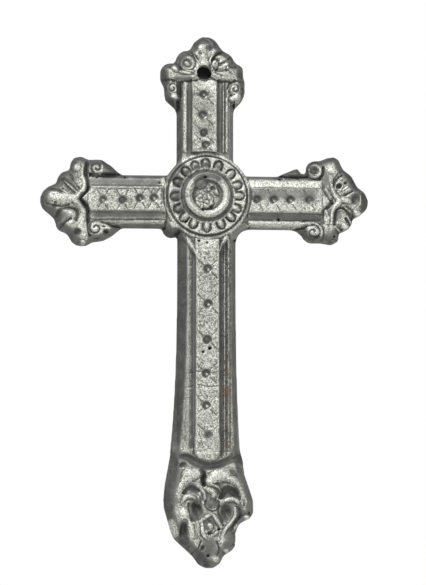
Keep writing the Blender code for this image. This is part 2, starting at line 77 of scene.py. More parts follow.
def spot(px, py, height=USUAL_HEIGHT):
    """Millimetres right of and above the crossing for a pixel of the picture."""
    x = (px - AXIS_PX) * MM_PER_PIXEL - SIGHT_RIGHT * height
    z = (AXIS_PY - py) * MM_PER_PIXEL - SIGHT_UP * height
    return x, z


def spots(*pixels):
    return [spot(*pixel) for pixel in pixels]

# %% [markdown]
# A copy of the solid is the block that we carve. Its mesh is loose triangles, so its doubles are merged
# first. The copy isn't scaled, so its outline stays the one of the imported model.

# %% Copy the solid
def alone(obj):
    """Selects one object and makes it the active one, with nothing else selected."""
    if bpy.context.object and bpy.context.object.mode != "OBJECT":
        bpy.ops.object.mode_set(mode="OBJECT")
    bpy.ops.object.select_all(action="DESELECT")
    obj.select_set(True)
    bpy.context.view_layer.objects.active = obj


solid = frame["nodes"]["cross"]
alone(solid)
bpy.ops.object.duplicate()
casting = bpy.context.object
casting.name = "silver_casting"
bpy.ops.object.parent_clear(type="CLEAR_KEEP_TRANSFORM")
bpy.ops.object.mode_set(mode="EDIT")
bpy.ops.mesh.select_all(action="SELECT")
bpy.ops.mesh.remove_doubles(threshold=0.001 * MM)
bpy.ops.object.mode_set(mode="OBJECT")
print("Copied solid:", len(casting.data.vertices), "points")

# %% [markdown]
# The solid is faceted. A voxel remesh melts its facets and everything that is joined to it into one even
# skin of small squares, which is what a metal poured in sand looks like, and gives points to carve with.

# %% Melt to an even skin
VOXEL = 0.34 * MM


def apply(obj, kind, **settings):
    """Adds a modifier with these settings and applies it."""
    alone(obj)
    modifier = obj.modifiers.new(kind.lower(), kind)
    for key, value in settings.items():
        setattr(modifier, key, value)
    bpy.ops.object.modifier_apply(modifier=modifier.name)


apply(casting, "REMESH", mode="VOXEL", voxel_size=VOXEL, adaptivity=0.0)
print("Skin:", len(casting.data.vertices), "points")

# %% [markdown]
# Carving works on the points of the face alone. Each has a place across (X), up (Z) and a height over
# the back (H), all in millimetres, and every tool below changes only the height. This is sculpting in
# code: a hand would drag the same points with brushes. Each point also knows how far inside the outline
# it lies (E), because a casting falls away to its edge.

# %% Points of the face
HOLE = (-1.2, 53.3)
HOLE_SURROUND = 4.6


def read_points(mesh):
    """Places in millimetres and directions of all points."""
    flat = np.empty(len(mesh.vertices) * 3, np.float32)
    mesh.vertices.foreach_get("co", flat)
    places = flat.reshape(-1, 3).astype(float) * 1000
    mesh.vertices.foreach_get("normal", flat)
    return places, flat.reshape(-1, 3).astype(float)


def outline_tree(places, directions):
    """The outline of the back as a tree that finds the nearest point quickly."""
    rim = (places[:, 1] > -0.7) & (abs(directions[:, 1]) < 0.75)
    rim &= np.hypot(places[:, 0] - HOLE[0], places[:, 2] - HOLE[1]) > HOLE_SURROUND
    ids = np.flatnonzero(rim)
    tree = KDTree(len(ids))
    for i in ids:
        tree.insert((places[i, 0], 0.0, places[i, 2]), int(i))
    tree.balance()
    return tree


def from_edge(tree, xs, zs):
    return np.array([tree.find((x, 0.0, z))[2] for x, z in zip(xs, zs)])


points, directions = read_points(casting.data)
edge_tree = outline_tree(points, directions)
FACE = np.flatnonzero((-directions[:, 1] > 0.12) & (points[:, 1] < -0.8))
X, Z, H = points[FACE, 0].copy(), points[FACE, 2].copy(), -points[FACE, 1]
E = from_edge(edge_tree, X, Z)
print("Points to carve:", len(FACE), "deepest inside the outline:", round(E.max(), 1), "mm")

# %% [markdown]
# The tools. A line is a smooth curve through a few chosen points. A ridge along it and an oval dome rise
# from the ground with a round back, a hollow and a dish are scooped, and a groove is a scratch of even
# depth. Soft versions of greater-of and less-of keep the creases from looking cut by a machine.

# %% Carving tools
CREASE = 0.28


def soft_max(a, b, k=CREASE):
    share = np.clip(0.5 + 0.5 * (b - a) / k, 0, 1)
    return a * (1 - share) + b * share + k * share * (1 - share)


def soft_min(a, b, k=CREASE):
    return -soft_max(-a, -b, k)


def smooth_line(stops, step=0.5):
    """A curve through the stops, as points about step apart."""
    stops = np.array(stops, float)
    if len(stops) == 1:
        return stops
    ends = np.vstack([2 * stops[0] - stops[1], stops, 2 * stops[-1] - stops[-2]])
    out = []
    for i in range(1, len(ends) - 2):
        a, b, c, d = ends[i - 1], ends[i], ends[i + 1], ends[i + 2]
        pieces = max(1, int(np.linalg.norm(c - b) / step))
        for t in np.arange(pieces)[:, None] / pieces:
            out.append(0.5 * (2 * b + (c - a) * t + (2 * a - 5 * b + 4 * c - d) * t**2
                              + (3 * b - a - 3 * c + d) * t**3)[None, :])
    return np.vstack(out + [ends[-2][None, :]])


def near(line, reach):
    """Which face points lie within reach of the line, their distance and the share along it."""
    low, high = line.min(0) - reach, line.max(0) + reach
    ids = np.flatnonzero((X > low[0]) & (X < high[0]) & (Z > low[1]) & (Z < high[1]))
    px, pz = X[ids], Z[ids]
    best = np.full(len(ids), 1e9)
    share = np.zeros(len(ids))
    if len(line) == 1:
        return ids, np.hypot(px - line[0, 0], pz - line[0, 1]), share
    for i in range(len(line) - 1):
        ax, az = line[i]
        dx, dz = line[i + 1] - line[i]
        t = np.clip(((px - ax) * dx + (pz - az) * dz) / (dx * dx + dz * dz + 1e-12), 0, 1)
        d = np.hypot(px - ax - t * dx, pz - az - t * dz)
        closer = d < best
        best[closer] = d[closer]
        share[closer] = (i + t[closer]) / (len(line) - 1)
    keep = best < reach
    return ids[keep], best[keep], share[keep]


def taper(widths, share):
    return np.interp(share, np.linspace(0, 1, len(widths)), widths)


def round_back(q, top, ground):
    """Height of a form with a round back; outside its edge it falls away quickly."""
    return ground + (top - ground) * np.sqrt(np.clip(1 - q * q, 0, 1)) - 3.0 * np.clip(q - 1, 0, 1)


def ridge(stops, widths, top, ground=4.6, k=CREASE):
    """Raises a round-backed ridge along the stops; widths and top may vary along it."""
    widths, top = np.atleast_1d(widths), np.atleast_1d(top)
    line = smooth_line(stops)
    ids, d, share = near(line, widths.max() + 0.6)
    w, t = taper(widths, share), taper(top, share)
    q = np.clip(d / w, 0, 1.3)
    H[ids] = soft_max(H[ids], round_back(q, t, ground), k)


def hollow(stops, widths, floor, rim=7.0, k=CREASE):
    """Scoops a round-bottomed hollow along the stops."""
    widths = np.atleast_1d(widths)
    line = smooth_line(stops)
    ids, d, share = near(line, widths.max() * 1.4)
    q = d / taper(widths, share)
    H[ids] = soft_min(H[ids], floor + (rim - floor) * q * q, k)


def groove(stops, width, depth):
    """Scratches a groove of even depth below whatever is there."""
    line = smooth_line(stops)
    ids, d, _ = near(line, width * 2.5)
    H[ids] -= depth * np.exp(-2 * (d / width) ** 2)


def within_oval(centre, half, turn, reach):
    """Points near an oval, and how far out in it each lies: 0 in the middle, 1 at the edge."""
    along, across = half
    a = math.radians(turn)
    ids = np.flatnonzero((abs(X - centre[0]) < reach) & (abs(Z - centre[1]) < reach))
    dx, dz = X[ids] - centre[0], Z[ids] - centre[1]
    u = (dx * math.cos(a) + dz * math.sin(a)) / along
    v = (-dx * math.sin(a) + dz * math.cos(a)) / across
    return ids, np.hypot(u, v)


def oval(centre, half, turn, top, ground, k=CREASE):
    """Raises an oval dome; half is (along, across) and turn is in degrees from +x."""
    ids, q = within_oval(centre, half, turn, max(half) + 0.6)
    H[ids] = soft_max(H[ids], round_back(q, top, ground), k)


def dish(centre, half, turn, floor, rim, k=CREASE):
    """Scoops an oval dish."""
    ids, q = within_oval(centre, half, turn, max(half) * 1.3)
    H[ids] = soft_min(H[ids], floor + (rim - floor) * q * q, k)

# %% [markdown]
# First the arms. Each has a raised flat panel, a smooth hollow beside it with a fine raised line, a
# narrow rough rim, and a wall that slopes away to the back. The two sides are not alike, so a section is
# a row of (place across, height) pairs, and every point of an arm takes its height from that row.

# %% Mouldings of the arms
PANEL_TOP = 7.6
MEDALLION_Z = 2.2
WALL_FOOT = 1.1
SHAFT_SECTION = [
    (-15, 0.9), (-12.2, 1.0), (-11.2, 2.6), (-9.6, 4.5), (-8.8, 5.3), (-8.4, 5.75), (-7.6, 5.85),
    (-7.0, 5.6), (-6.75, 5.2), (-6.5, 5.6), (-6.2, 5.1), (-5.6, 4.9), (-5.15, 5.3), (-4.85, 7.3),
    (-4.5, 7.75), (-4.0, 7.6), (4.0, 7.6), (4.5, 7.75), (4.85, 7.3), (5.1, 5.2), (5.7, 4.5), (6.5, 4.4),
    (6.95, 4.7), (7.2, 5.2), (7.45, 4.7), (7.9, 4.3), (8.3, 5.3), (8.8, 5.8), (9.2, 5.4), (9.45, 4.7),
    (9.8, 5.0), (10.6, 4.3), (11.6, 2.6), (12.4, 1.0), (15, 0.9),
]
TOP_SECTION = [
    (-14, 1.0), (-12.3, 1.1), (-11.2, 3.2), (-10.4, 4.8), (-10.1, 4.4), (-9.7, 5.4), (-8.9, 5.8),
    (-8.2, 5.5), (-7.8, 5.0), (-6.9, 4.8), (-6.45, 5.3), (-6.15, 7.3), (-5.8, 7.7), (-5.3, 7.6), (3.1, 7.6),
    (3.6, 7.7), (3.95, 7.3), (4.2, 5.2), (4.9, 4.6), (5.9, 4.5), (6.2, 4.3), (6.6, 5.4), (7.0, 5.3),
    (7.3, 4.5), (7.8, 5.5), (8.3, 5.6), (8.7, 4.9), (9.4, 4.7), (10.4, 3.0), (11.4, 1.1), (14, 1.0),
]
LEFT_SECTION = [
    (-13, 1.0), (-11.3, 1.2), (-10.2, 3.6), (-8.7, 5.3), (-8.2, 5.5), (-7.9, 4.5), (-7.5, 5.1), (-6.6, 5.0),
    (-5.4, 5.2), (-4.8, 5.9), (-4.5, 7.4), (-4.1, 7.6), (4.6, 7.6), (5.0, 7.9), (5.5, 7.6), (5.8, 6.1),
    (6.4, 5.7), (7.6, 5.8), (8.7, 5.8), (9.5, 5.4), (9.9, 4.7), (10.6, 3.2), (11.3, 1.2), (13, 1.0),
]
RIGHT_SECTION = [
    (-13, 1.0), (-11.3, 1.2), (-10.6, 3.2), (-9.9, 4.9), (-9.0, 5.9), (-8.3, 5.9), (-7.8, 5.2),
    (-7.55, 4.5), (-7.0, 4.9), (-6.3, 5.3), (-6.05, 5.6), (-5.8, 5.2), (-5.2, 5.3), (-4.85, 5.6),
    (-4.6, 7.2), (-4.2, 7.6), (4.7, 7.5), (5.1, 7.7), (5.4, 7.3), (5.7, 6.3), (6.6, 6.0), (8.2, 5.6),
    (9.0, 5.2), (9.4, 4.3), (10.2, 3.4), (11.2, 1.3), (13, 1.0),
]


def mould(along, across, start, end, section, wall):
    """Gives the points between start and end along an arm the heights of its section."""
    ids = np.flatnonzero((along > start) & (along < end) & (abs(across) < wall))
    places, heights = zip(*section)
    H[ids] = np.interp(across[ids], places, heights)


mould(-Z, X, 15.6, 109.0, SHAFT_SECTION, 16.5)
mould(Z, X, 20.3, 51.0, TOP_SECTION, 12.6)
mould(-X, Z, 17.0, 49.3, LEFT_SECTION, 11.6)
mould(X, Z, 17.0, 47.5, RIGHT_SECTION, 11.6)
flare = np.flatnonzero((Z < -60) & (Z > -109.0) & (E < 4.5) & (X < 0))
H[flare] = np.minimum(H[flare], WALL_FOOT + 1.25 * E[flare])
print("Points of the wall thinned at the swelling of the shaft:", len(flare))

# %% [markdown]
# Every panel has a row of sunk studs, each a small bead in a round socket. Thin lines are cut in a cross
# through each of them out to the panel's edges, one of the two fainter. Hand work is never even, so the
# places are the real ones.

# %% Studs and engraved lines
SHAFT_STUDS = [(207.9, 268.7), (208.2, 303.9), (207.4, 339.5), (206.4, 373.2), (206.6, 405.1), (208.4, 434.1)]
TOP_STUDS = [(203.6, 94.1), (202.9, 114.6), (204.1, 132.9), (206.1, 144.6)]
LEFT_STUDS = [(103.5, 200.8), (123.3, 200.8), (140.5, 198.8), (154.4, 198.4)]
RIGHT_STUDS = [(257, 199.2), (273.5, 199.2), (290, 199.2), (309.2, 199.2)]
LINE_WIDTH, LINE_DEPTH = 0.32, 0.30


def level(centre, radius, height):
    """Files a round patch down to one height, to clear the ground for a new form."""
    ids = np.flatnonzero(np.hypot(X - centre[0], Z - centre[1]) < radius)
    H[ids] = np.minimum(H[ids], height)


def stud(pixel, radius):
    centre = spot(*pixel, PANEL_TOP)
    level(centre, radius + 1.0, PANEL_TOP)
    dish(centre, (radius, radius), 0, PANEL_TOP - 1.6, PANEL_TOP + 0.1, 0.2)
    oval(centre, (radius * 0.62, radius * 0.62), 0, PANEL_TOP, PANEL_TOP - 1.4, 0.2)


def cross_lines(pixel, across, along, upright, second):
    """Two crossing lines through a stud; they reach across and along the panel."""
    x, z = spot(*pixel, PANEL_TOP)
    for slope, share in ((-1, 1.0), (1, second)):
        dx, dz = (across, slope * along) if upright else (along, slope * across)
        groove([(x - dx, z - dz), (x, z), (x + dx, z + dz)], LINE_WIDTH, LINE_DEPTH * share)


for row, radius, upright, second in ((SHAFT_STUDS, 1.85, True, 0.55), (TOP_STUDS, 1.7, True, 0.35),
                                     (LEFT_STUDS, 1.65, False, 0.9), (RIGHT_STUDS, 1.65, False, 0.3)):
    for pixel in row:
        cross_lines(pixel, 4.2, 4.0 if upright else 2.4, upright, second)
    for pixel in row:
        stud(pixel, radius)
print("Studs:", len(SHAFT_STUDS + TOP_STUDS + LEFT_STUDS + RIGHT_STUDS))

# %% [markdown]
# The medallion sits over the crossing. From outside in it has a thin web, a dark groove, a band with
# sixteen long eggs, each in a socket open towards the middle, a smooth ring and a worn flower.

# %% Medallion
EGGS = 16
R = np.hypot(X, Z - MEDALLION_Z)
RING_PLACES = [0, 6.0, 6.5, 7.9, 9.2, 9.6, 10.5, 10.9, 15.4, 15.9, 16.25, 16.7, 17.2, 18.2, 18.9]
RING_HEIGHTS = [7.0, 7.2, 8.8, 9.7, 8.6, 6.7, 6.6, 7.0, 7.2, 7.0, 5.2, 5.6, 5.8, 5.5, 5.2]
WEB_INNER, WEB_OUTER = 16.6, 18.3
inside = R < WEB_INNER
H[inside] = np.interp(R[inside], RING_PLACES, RING_HEIGHTS)
web = (R >= WEB_INNER) & (R < WEB_OUTER)
H[web] = np.minimum(H[web], np.interp(R[web], RING_PLACES, RING_HEIGHTS))


def on_spoke(angle, r, s=0.0):
    """A place r from the middle of the medallion, s to the side of the spoke at this angle."""
    c, d = math.cos(angle), math.sin(angle)
    return c * r - d * s, MEDALLION_Z + d * r + c * s


def arc(r, start=0.0, end=math.tau, steps=40):
    """Places along a circle round the middle of the medallion, between two angles."""
    return [on_spoke(a, r) for a in np.linspace(start, end, steps)]


def egg_socket(angle, side):
    """The U round one egg, open towards the middle; side is half its width at the open end."""
    return [on_spoke(angle, 11.8, side), on_spoke(angle, 13.9, 1.5), on_spoke(angle, 15.0),
            on_spoke(angle, 13.9, -1.5), on_spoke(angle, 11.8, -side)]


EGG_ANGLES = [math.tau * (i + 0.15 * math.sin(5.0 * i)) / EGGS for i in range(EGGS)]
for i, angle in enumerate(EGG_ANGLES):
    size = 1.0 + 0.11 * math.sin(3.1 * i + 1.0)
    hollow(egg_socket(angle, 1.55), [0.4, 0.7, 0.4], 6.05 + 0.35 * math.sin(1.7 * i), 7.1, 0.2)
    oval(on_spoke(angle, 12.7), (2.3 * size, 1.35 * size), math.degrees(angle), 8.1, 6.0, 0.2)
groove(arc(16.25), 0.35, 0.5)
print("Eggs of the medallion:", EGGS)
PETALS = [((204.5 + 6.2 * math.cos(a), 200.5 + 5.2 * math.sin(a)), (1.9 + 0.3 * math.sin(3 * a), 1.05),
           -math.degrees(a) + 65 + 20 * math.sin(5 * a)) for a in np.arange(9) * math.tau / 9]
PETALS += [((202, 200), (1.5, 0.9), 30), ((207, 202), (1.5, 0.9), -20), ((205, 197), (1.6, 0.8), 70),
           ((215.5, 190), (2.4, 0.9), -60), ((210, 189), (1.4, 0.8), 20)]
oval((-0.2, MEDALLION_Z), (5.8, 5.8), 0, 8.0, 6.4)
oval(spot(200.7, 183.5, 8.5), (2.9, 2.4), 20, 9.2, 6.6)
for pixel, half, turn in PETALS:
    dish(spot(*pixel, 8.5), (half[0] * 1.15, half[1] * 1.25), turn, 7.7, 8.7, 0.2)
    oval(spot(*pixel, 8.5), half, turn, 9.0, 7.7, 0.2)
for pixel, size, floor in (((213, 187.6), 1.6, 6.4), ((211.4, 207.4), 1.1, 6.0), ((209.5, 184.5), 0.9, 7.0),
                           ((203, 209.5), 0.8, 6.4), ((196.5, 188), 0.8, 7.2)):
    dish(spot(*pixel, 8.5), (size, size), 0, floor, 9.0)

ridge(spots((184, 236), (190, 243), (196, 254)), [1.2, 1.4, 0.7], [6.4, 7.1, 7.6])
ridge(spots((227, 237), (222.5, 243), (219.5, 252)), [1.2, 1.0, 0.5], [6.2, 6.9, 7.5], 4.4)

# %% [markdown]
# The ends begin as pillows that fall away to the outline in a quarter round. On them lie the petals: the
# middle one a tongue, the next two scooped like cups with ribs inside, the outer two with a round end.
# A raised band in the shape of a brace ties their stems, and a smooth crevice parts it from the panel.
# No two ends are alike on a hand-finished casting, so each has its own places, in pixels of the picture.

# %% Pillows
PILLOW = 6.5
END_GROUND, END_RIM = 4.8, 7.0


def pillow(zone, reach, top=PILLOW, share=1.0):
    """Rounds the points of a zone down to the outline; a share under one keeps some of their height."""
    ids = np.flatnonzero(zone)
    q = 1 - np.clip(E[ids] / reach, 0, 1)
    share = np.broadcast_to(share, X.shape)[ids]
    H[ids] = (1 - share) * H[ids] + share * (WALL_FOOT + (top - WALL_FOOT) * np.sqrt(1 - q * q))


pillow((X < -48.6) | ((X < -34.0) & (abs(Z) > 11.2)), 3.8)
pillow((X > 47.0) | ((X > 28.5) & (abs(Z) > 11.2)), 3.8)
pillow((Z > 50.6) | ((Z > 36.0) & (abs(X + 0.6) > 12.1)), 3.8)
pillow(Z < -99.0, 4.6, 6.2, np.where(abs(X) < 5.6, Z < -105, np.clip((-99 - Z) / 9, 0, 1)))


def carve(ridges=(), domes=(), hollows=(), dishes=(), cuts=()):
    """Carves one end: scoops and cuts first, then ridges and domes. Places are pixels."""
    for stops, widths, floor in hollows:
        hollow(spots(*stops), widths, floor)
    for pixel, half, angle, floor in dishes:
        dish(spot(*pixel), half, angle, floor, END_RIM)
    for stops, width, depth in cuts:
        groove(spots(*stops), width, depth)
    for stops, widths, tops in ridges:
        ridge(spots(*stops), widths, tops, END_GROUND)
    for pixel, half, angle, top in domes:
        oval(spot(*pixel), half, angle, top, END_GROUND)
    sunk = len(hollows) + len(dishes) + len(cuts)
    print("Carved", len(ridges), "ridges,", len(domes), "domes and", sunk, "hollows and cuts")


def ring_of(pixel, radius, start=0.0, turn=360.0, steps=16):
    """Pixels around a centre, from a start angle and through a turn, both in degrees."""
    angles = np.radians(start + turn * np.arange(steps + 1) / steps)
    return [(pixel[0] + radius * math.cos(a), pixel[1] - radius * math.sin(a)) for a in angles]


def spiral(pixel, radius, start, turn, steps=26):
    """Pixels of a line that winds in from the radius towards the middle."""
    angles = np.radians(start + turn * np.arange(steps + 1) / steps)
    radii = radius * (1 - 0.8 * np.arange(steps + 1) / steps)
    return [(pixel[0] + r * math.cos(a), pixel[1] - r * math.sin(a)) for r, a in zip(radii, angles)]


def scroll(pixel, radius, start, turn, top):
    """A round disc with a spiral cut in it."""
    size = radius * MM_PER_PIXEL
    oval(spot(*pixel), (size * 1.12, size * 1.12), 0, top, top - 2.4)
    groove(spots(*spiral(pixel, radius, start, turn)), 0.55, 0.95)


SCROLLS = [((98, 168.7), 6.8, 280, -430, 6.6), ((96.5, 229), 7.8, 80, 430, 6.8),
           ((313, 231), 8.0, 100, -430, 6.6),
           ((173, 88), 6.0, -30, 430, 6.8), ((235, 88), 5.8, 210, -430, 6.8)]

# %% [markdown]
# The left end. The panel runs out in a tongue towards the middle petal. The upper cup has fine ribs, the
# lower one a thick fold, and a round dimple lies under it.

# %% Left end
ridge(spots((84.5, 199.5), (90, 199.5)), [2.4, 4.6], 7.6, 7.4, 0.1)
carve(
    hollows=[
        (((62, 182), (70, 188), (78, 194)), [2.2, 2.7, 1.8], 5.0),
        (((88.5, 163), (86.5, 172), (88, 184), (88, 190), (80.5, 199.5), (86.5, 207), (88.5, 216),
          (90, 226), (91, 236)),
         1.1, 3.9),
    ],
    dishes=[((78.5, 233), (2.0, 2.0), 0, 4.4), ((107, 232.5), (1.5, 1.0), -20, 4.2),
            ((75, 193), (1.3, 0.9), -40, 5.2)],
    cuts=[
        (((45, 189), (52, 190), (60, 192), (67, 196)), 0.7, 1.0),
        (((48, 205), (55, 207), (63, 207.5), (70, 206)), 0.6, 1.0),
        (((58, 217), (61, 211.5), (68, 209), (76, 210.5), (79, 215), (77.5, 221)), 0.95, 1.7),
        (((61, 228.5), (67, 223), (72, 219.5)), 0.6, 1.3),
        (((72, 176), (75, 184), (80, 190)), 0.5, 0.9),
        (((94, 176.6), (104, 177), (118, 177)), 0.45, 1.3),
    ],
    ridges=[
        (((66, 183), (73, 189), (78, 194)), 0.5, [6.5, 6.8, 6.6]),
        (((60, 188.5), (66, 193), (71, 197)), 0.55, [6.6, 6.9, 6.8]),
        (((71, 180), (76, 186), (79, 191)), 0.45, [6.2, 6.6, 6.4]),
        (((53, 198), (60, 199.5), (75, 200)), [2.5, 2.9, 2.2], [6.9, 7.3, 7.6]),
        (((59, 226), (65, 221), (71, 216.5)), 0.6, [6.4, 7.0, 6.8]),
        (((75, 173), (79, 182)), 0.5, 6.7),
        (((79, 172), (82.5, 180)), 0.5, 6.7),
        (((83, 176), (85.5, 184), (84, 191), (78.5, 197), (75, 200.5), (80, 206), (84.5, 213), (84, 221),
          (82, 229)),
         [1.0, 1.2, 1.3, 1.5, 1.8, 1.6, 1.4, 1.3, 0.9], [6.6, 7.2, 7.6, 7.8, 7.9, 7.8, 7.6, 7.2, 6.6]),
        (((102.5, 225), (107, 226.5), (111.5, 229.5)), 0.7, [6.0, 6.4, 5.8]),
    ],
    domes=[
        ((72.5, 214.8), (1.9, 1.3), 0, 7.1), ((72, 224), (2.2, 1.4), 30, 7.0),
        ((78, 168.5), (2.5, 2.0), 60, 7.4),
        ((86, 236.5), (1.5, 1.2), 70, 6.8), ((83.5, 243), (1.7, 1.2), 10, 6.2),
    ],
)
dish(spot(56.5, 204.2), (1.5, 1.1), -20, 5.9, 7.6)

# %% [markdown]
# The right end is its rough mirror image. A pit lies in the middle petal, and an open ring takes the place
# of the spiral in the upper volute.

# %% Right end
ridge(spots((319, 200), (325, 200.5)), [4.6, 2.4], 7.5, 7.3, 0.1)
carve(
    hollows=[
        (((321, 178), (323.5, 188), (331, 200.5), (323, 211), (322, 222)), 0.9, 5.4),
        (((317, 178.5), (322, 174), (323, 166)), 0.9, 4.8),
    ],
    dishes=[
        ((355, 197.5), (2.8, 2.0), 80, 5.0), ((338.5, 184.5), (1.6, 1.4), 0, 4.6),
        ((331.7, 202), (0.8, 0.6), 0, 4.2),
        ((314.5, 169.5), (2.2, 2.2), 0, 4.6), ((334, 235), (0.8, 0.8), 0, 4.4),
        ((345, 181.5), (0.8, 0.7), 0, 4.8),
    ],
    cuts=[
        (((342, 195), (347, 192), (352, 189.5)), 0.6, 1.3),
        (((346, 205), (352, 210), (351, 217)), 0.6, 1.0),
        (((334, 191), (333.3, 184), (335.5, 178), (341, 174)), 0.9, 1.5),
        (((333, 178.5), (337, 173), (341, 170)), 0.45, 0.9),
        (((334, 223), (334.5, 213), (337, 207.5), (341.5, 206.5), (346.5, 210), (350, 216)), 0.9, 1.6),
        (((345, 217), (349, 225)), 0.6, 1.2),
        (((303, 220.3), (313, 220.8), (320, 224), (323, 231), (321, 239)), 0.6, 1.2),
    ],
    ridges=[
        (((357.5, 190.5), (360, 197), (359, 203.5), (354, 208)), 0.55, [6.8, 7.3, 7.2, 6.6]),
        (((342, 198), (349, 200)), [1.9, 1.5], [7.7, 7.4]),
        (((334.7, 188), (335.5, 182.5), (340, 180.5), (342.5, 184), (340, 188.5)), 0.5, 7.0),
        (((341, 181), (347, 177.5)), 0.5, 6.9),
        (((342, 189), (347.5, 185)), 0.8, 7.0),
        (((337, 209.8), (340.5, 208.5), (343.5, 210.5)), 0.5, 7.0),
        (((346.5, 214.5), (350.5, 222.5)), 0.55, 6.9),
        (((341, 213), (344.5, 220)), 0.6, 6.6),
        (((334, 225), (339, 229.8)), 0.5, 6.8),
        (((330, 178), (331.5, 186), (334, 193), (338.5, 200), (333.5, 206.5), (331.5, 213), (331, 221),
          (330, 228)),
         [0.8, 1.0, 1.3, 1.8, 1.3, 0.9, 0.8, 0.6], [6.6, 7.2, 7.6, 7.8, 7.6, 7.3, 7.0, 6.4]),
        (((325.5, 210), (327.3, 218), (326.5, 226)), [1.2, 1.7, 1.0], [7.0, 7.0, 6.4]),
        (((326, 189), (330, 196)), 1.4, 7.0),
        (ring_of((314.5, 169.5), 6.0), 0.6, 6.6),
        (((300, 222.5), (307, 222), (314, 222.5), (319.5, 226), (321.5, 231.5), (319.5, 237), (314, 240.3)),
         [0.5, 0.8, 0.9, 0.8, 0.7, 0.7, 0.5], [6.0, 6.6, 6.7, 6.7, 6.6, 6.5, 6.0]),
    ],
    domes=[
        ((357, 212), (2.3, 1.6), -35, 6.9), ((331.5, 168.5), (2.6, 2.3), 70, 7.3),
        ((344.5, 224.5), (2.1, 1.8), 0, 7.0),
        ((328.5, 236), (1.5, 1.2), 0, 6.2), ((333, 240), (1.3, 1.0), 0, 5.9),
        ((313.5, 170), (0.9, 0.9), 0, 6.0),
    ],
)

# %% [markdown]
# The top end carries the nail hole between the stems of its petals. Rings lie in the two side petals, and
# a straight crevice runs across on both sides of the hole.

# %% Top end
carve(
    hollows=[(((198, 62), (203, 64), (208, 62)), 0.8, 6.2)],
    dishes=[((187.5, 63), (3.1, 2.5), -45, 4.9), ((203.2, 76.5), (3.9, 3.4), 0, 5.6),
            ((243, 87), (0.7, 0.9), 0, 2.6)],
    cuts=[
        (((210.7, 67), (210, 61.5), (213, 58), (218, 59.5), (219.5, 65), (216, 69.5)), 0.7, 1.3),
        (((188, 50), (193, 54), (197, 59)), 0.9, 1.5),
        (((223, 51), (217, 53.5), (212, 59)), 0.9, 1.5),
        (((173, 62), (178, 65), (181, 69)), 0.8, 1.3),
        (((236, 66), (231, 67), (227, 69)), 0.7, 1.1),
        (ring_of((187.5, 62), 8.4), 0.7, 0.8),
        (ring_of((220.5, 61.5), 8.8), 0.7, 0.7),
        (ring_of((203, 46), 8.5, -20, 220), 0.8, 0.6),
        (((163, 80), (175, 79.5), (190, 80.3), (197, 80.3)), 0.5, 1.5),
        (((211, 77), (217, 80), (230, 80), (243, 80.3)), 0.5, 1.5),
        (((179.5, 98), (181, 90), (179.5, 83.5), (174, 80.8)), 1.0, 1.7),
        (((170.5, 90), (174, 92.5), (178, 91)), 0.4, 0.9),
        (((226.5, 96), (227, 88), (230.5, 82.5)), 0.6, 1.1),
        (((166, 64), (171, 67)), 0.5, 1.2),
        (((231, 56), (226, 60), (221, 63)), 0.5, 0.9),
    ],
    ridges=[
        (((203, 46), (204, 55), (205, 62)), [2.3, 2.1, 2.6], [6.8, 6.9, 7.2]),
        (((193.5, 53), (197, 59.5), (201.5, 66)), 0.5, [6.6, 7.2, 7.3]),
        (((213.5, 53), (210, 60), (212.5, 68.5)), 0.5, [6.6, 7.2, 7.3]),
        (((181, 65.5), (186, 70), (193, 71)), 0.7, [6.4, 7.2, 7.3]),
        (((220, 61), (225.5, 58.5)), 0.6, 6.8),
        (((220, 67), (228, 63.5)), 0.9, 7.1),
        (((169, 75), (178, 77), (188, 77), (195, 75.5)), [1.0, 1.4, 1.4, 1.0], [6.0, 6.8, 7.1, 7.1]),
        (((181, 71.5), (190, 73)), 0.9, 7.3),
        (((211, 72), (221, 76.5), (232, 77.5)), [1.0, 1.4, 1.1], [7.1, 7.0, 6.5]),
        (((228, 67), (233, 72)), 1.0, 7.1),
        (((232, 98), (238, 95), (241, 90)), [1.2, 1.4, 0.8], [6.4, 6.6, 6.0]),
        (((168, 92), (171, 97), (177, 96)), [0.8, 1.1, 1.0], 6.4),
    ],
    domes=[
        ((202, 48), (2.8, 2.1), 90, 7.3), ((187.5, 63), (1.4, 1.1), -45, 6.6),
        ((214.3, 64), (1.5, 1.4), 0, 7.0),
        ((175.5, 68.8), (2.3, 1.4), -40, 7.5),
    ],
)

for disc in SCROLLS:
    scroll(*disc)

# %% [markdown]
# The foot is a leaf ornament: the panel ends in a round tongue with a smooth hollow running round it, two
# leaves spring to the sides with a deep gap left of the middle, arches hang from them over a pair of
# scrolls, and a bud, a calyx, a cup and a smooth drop come down the middle.

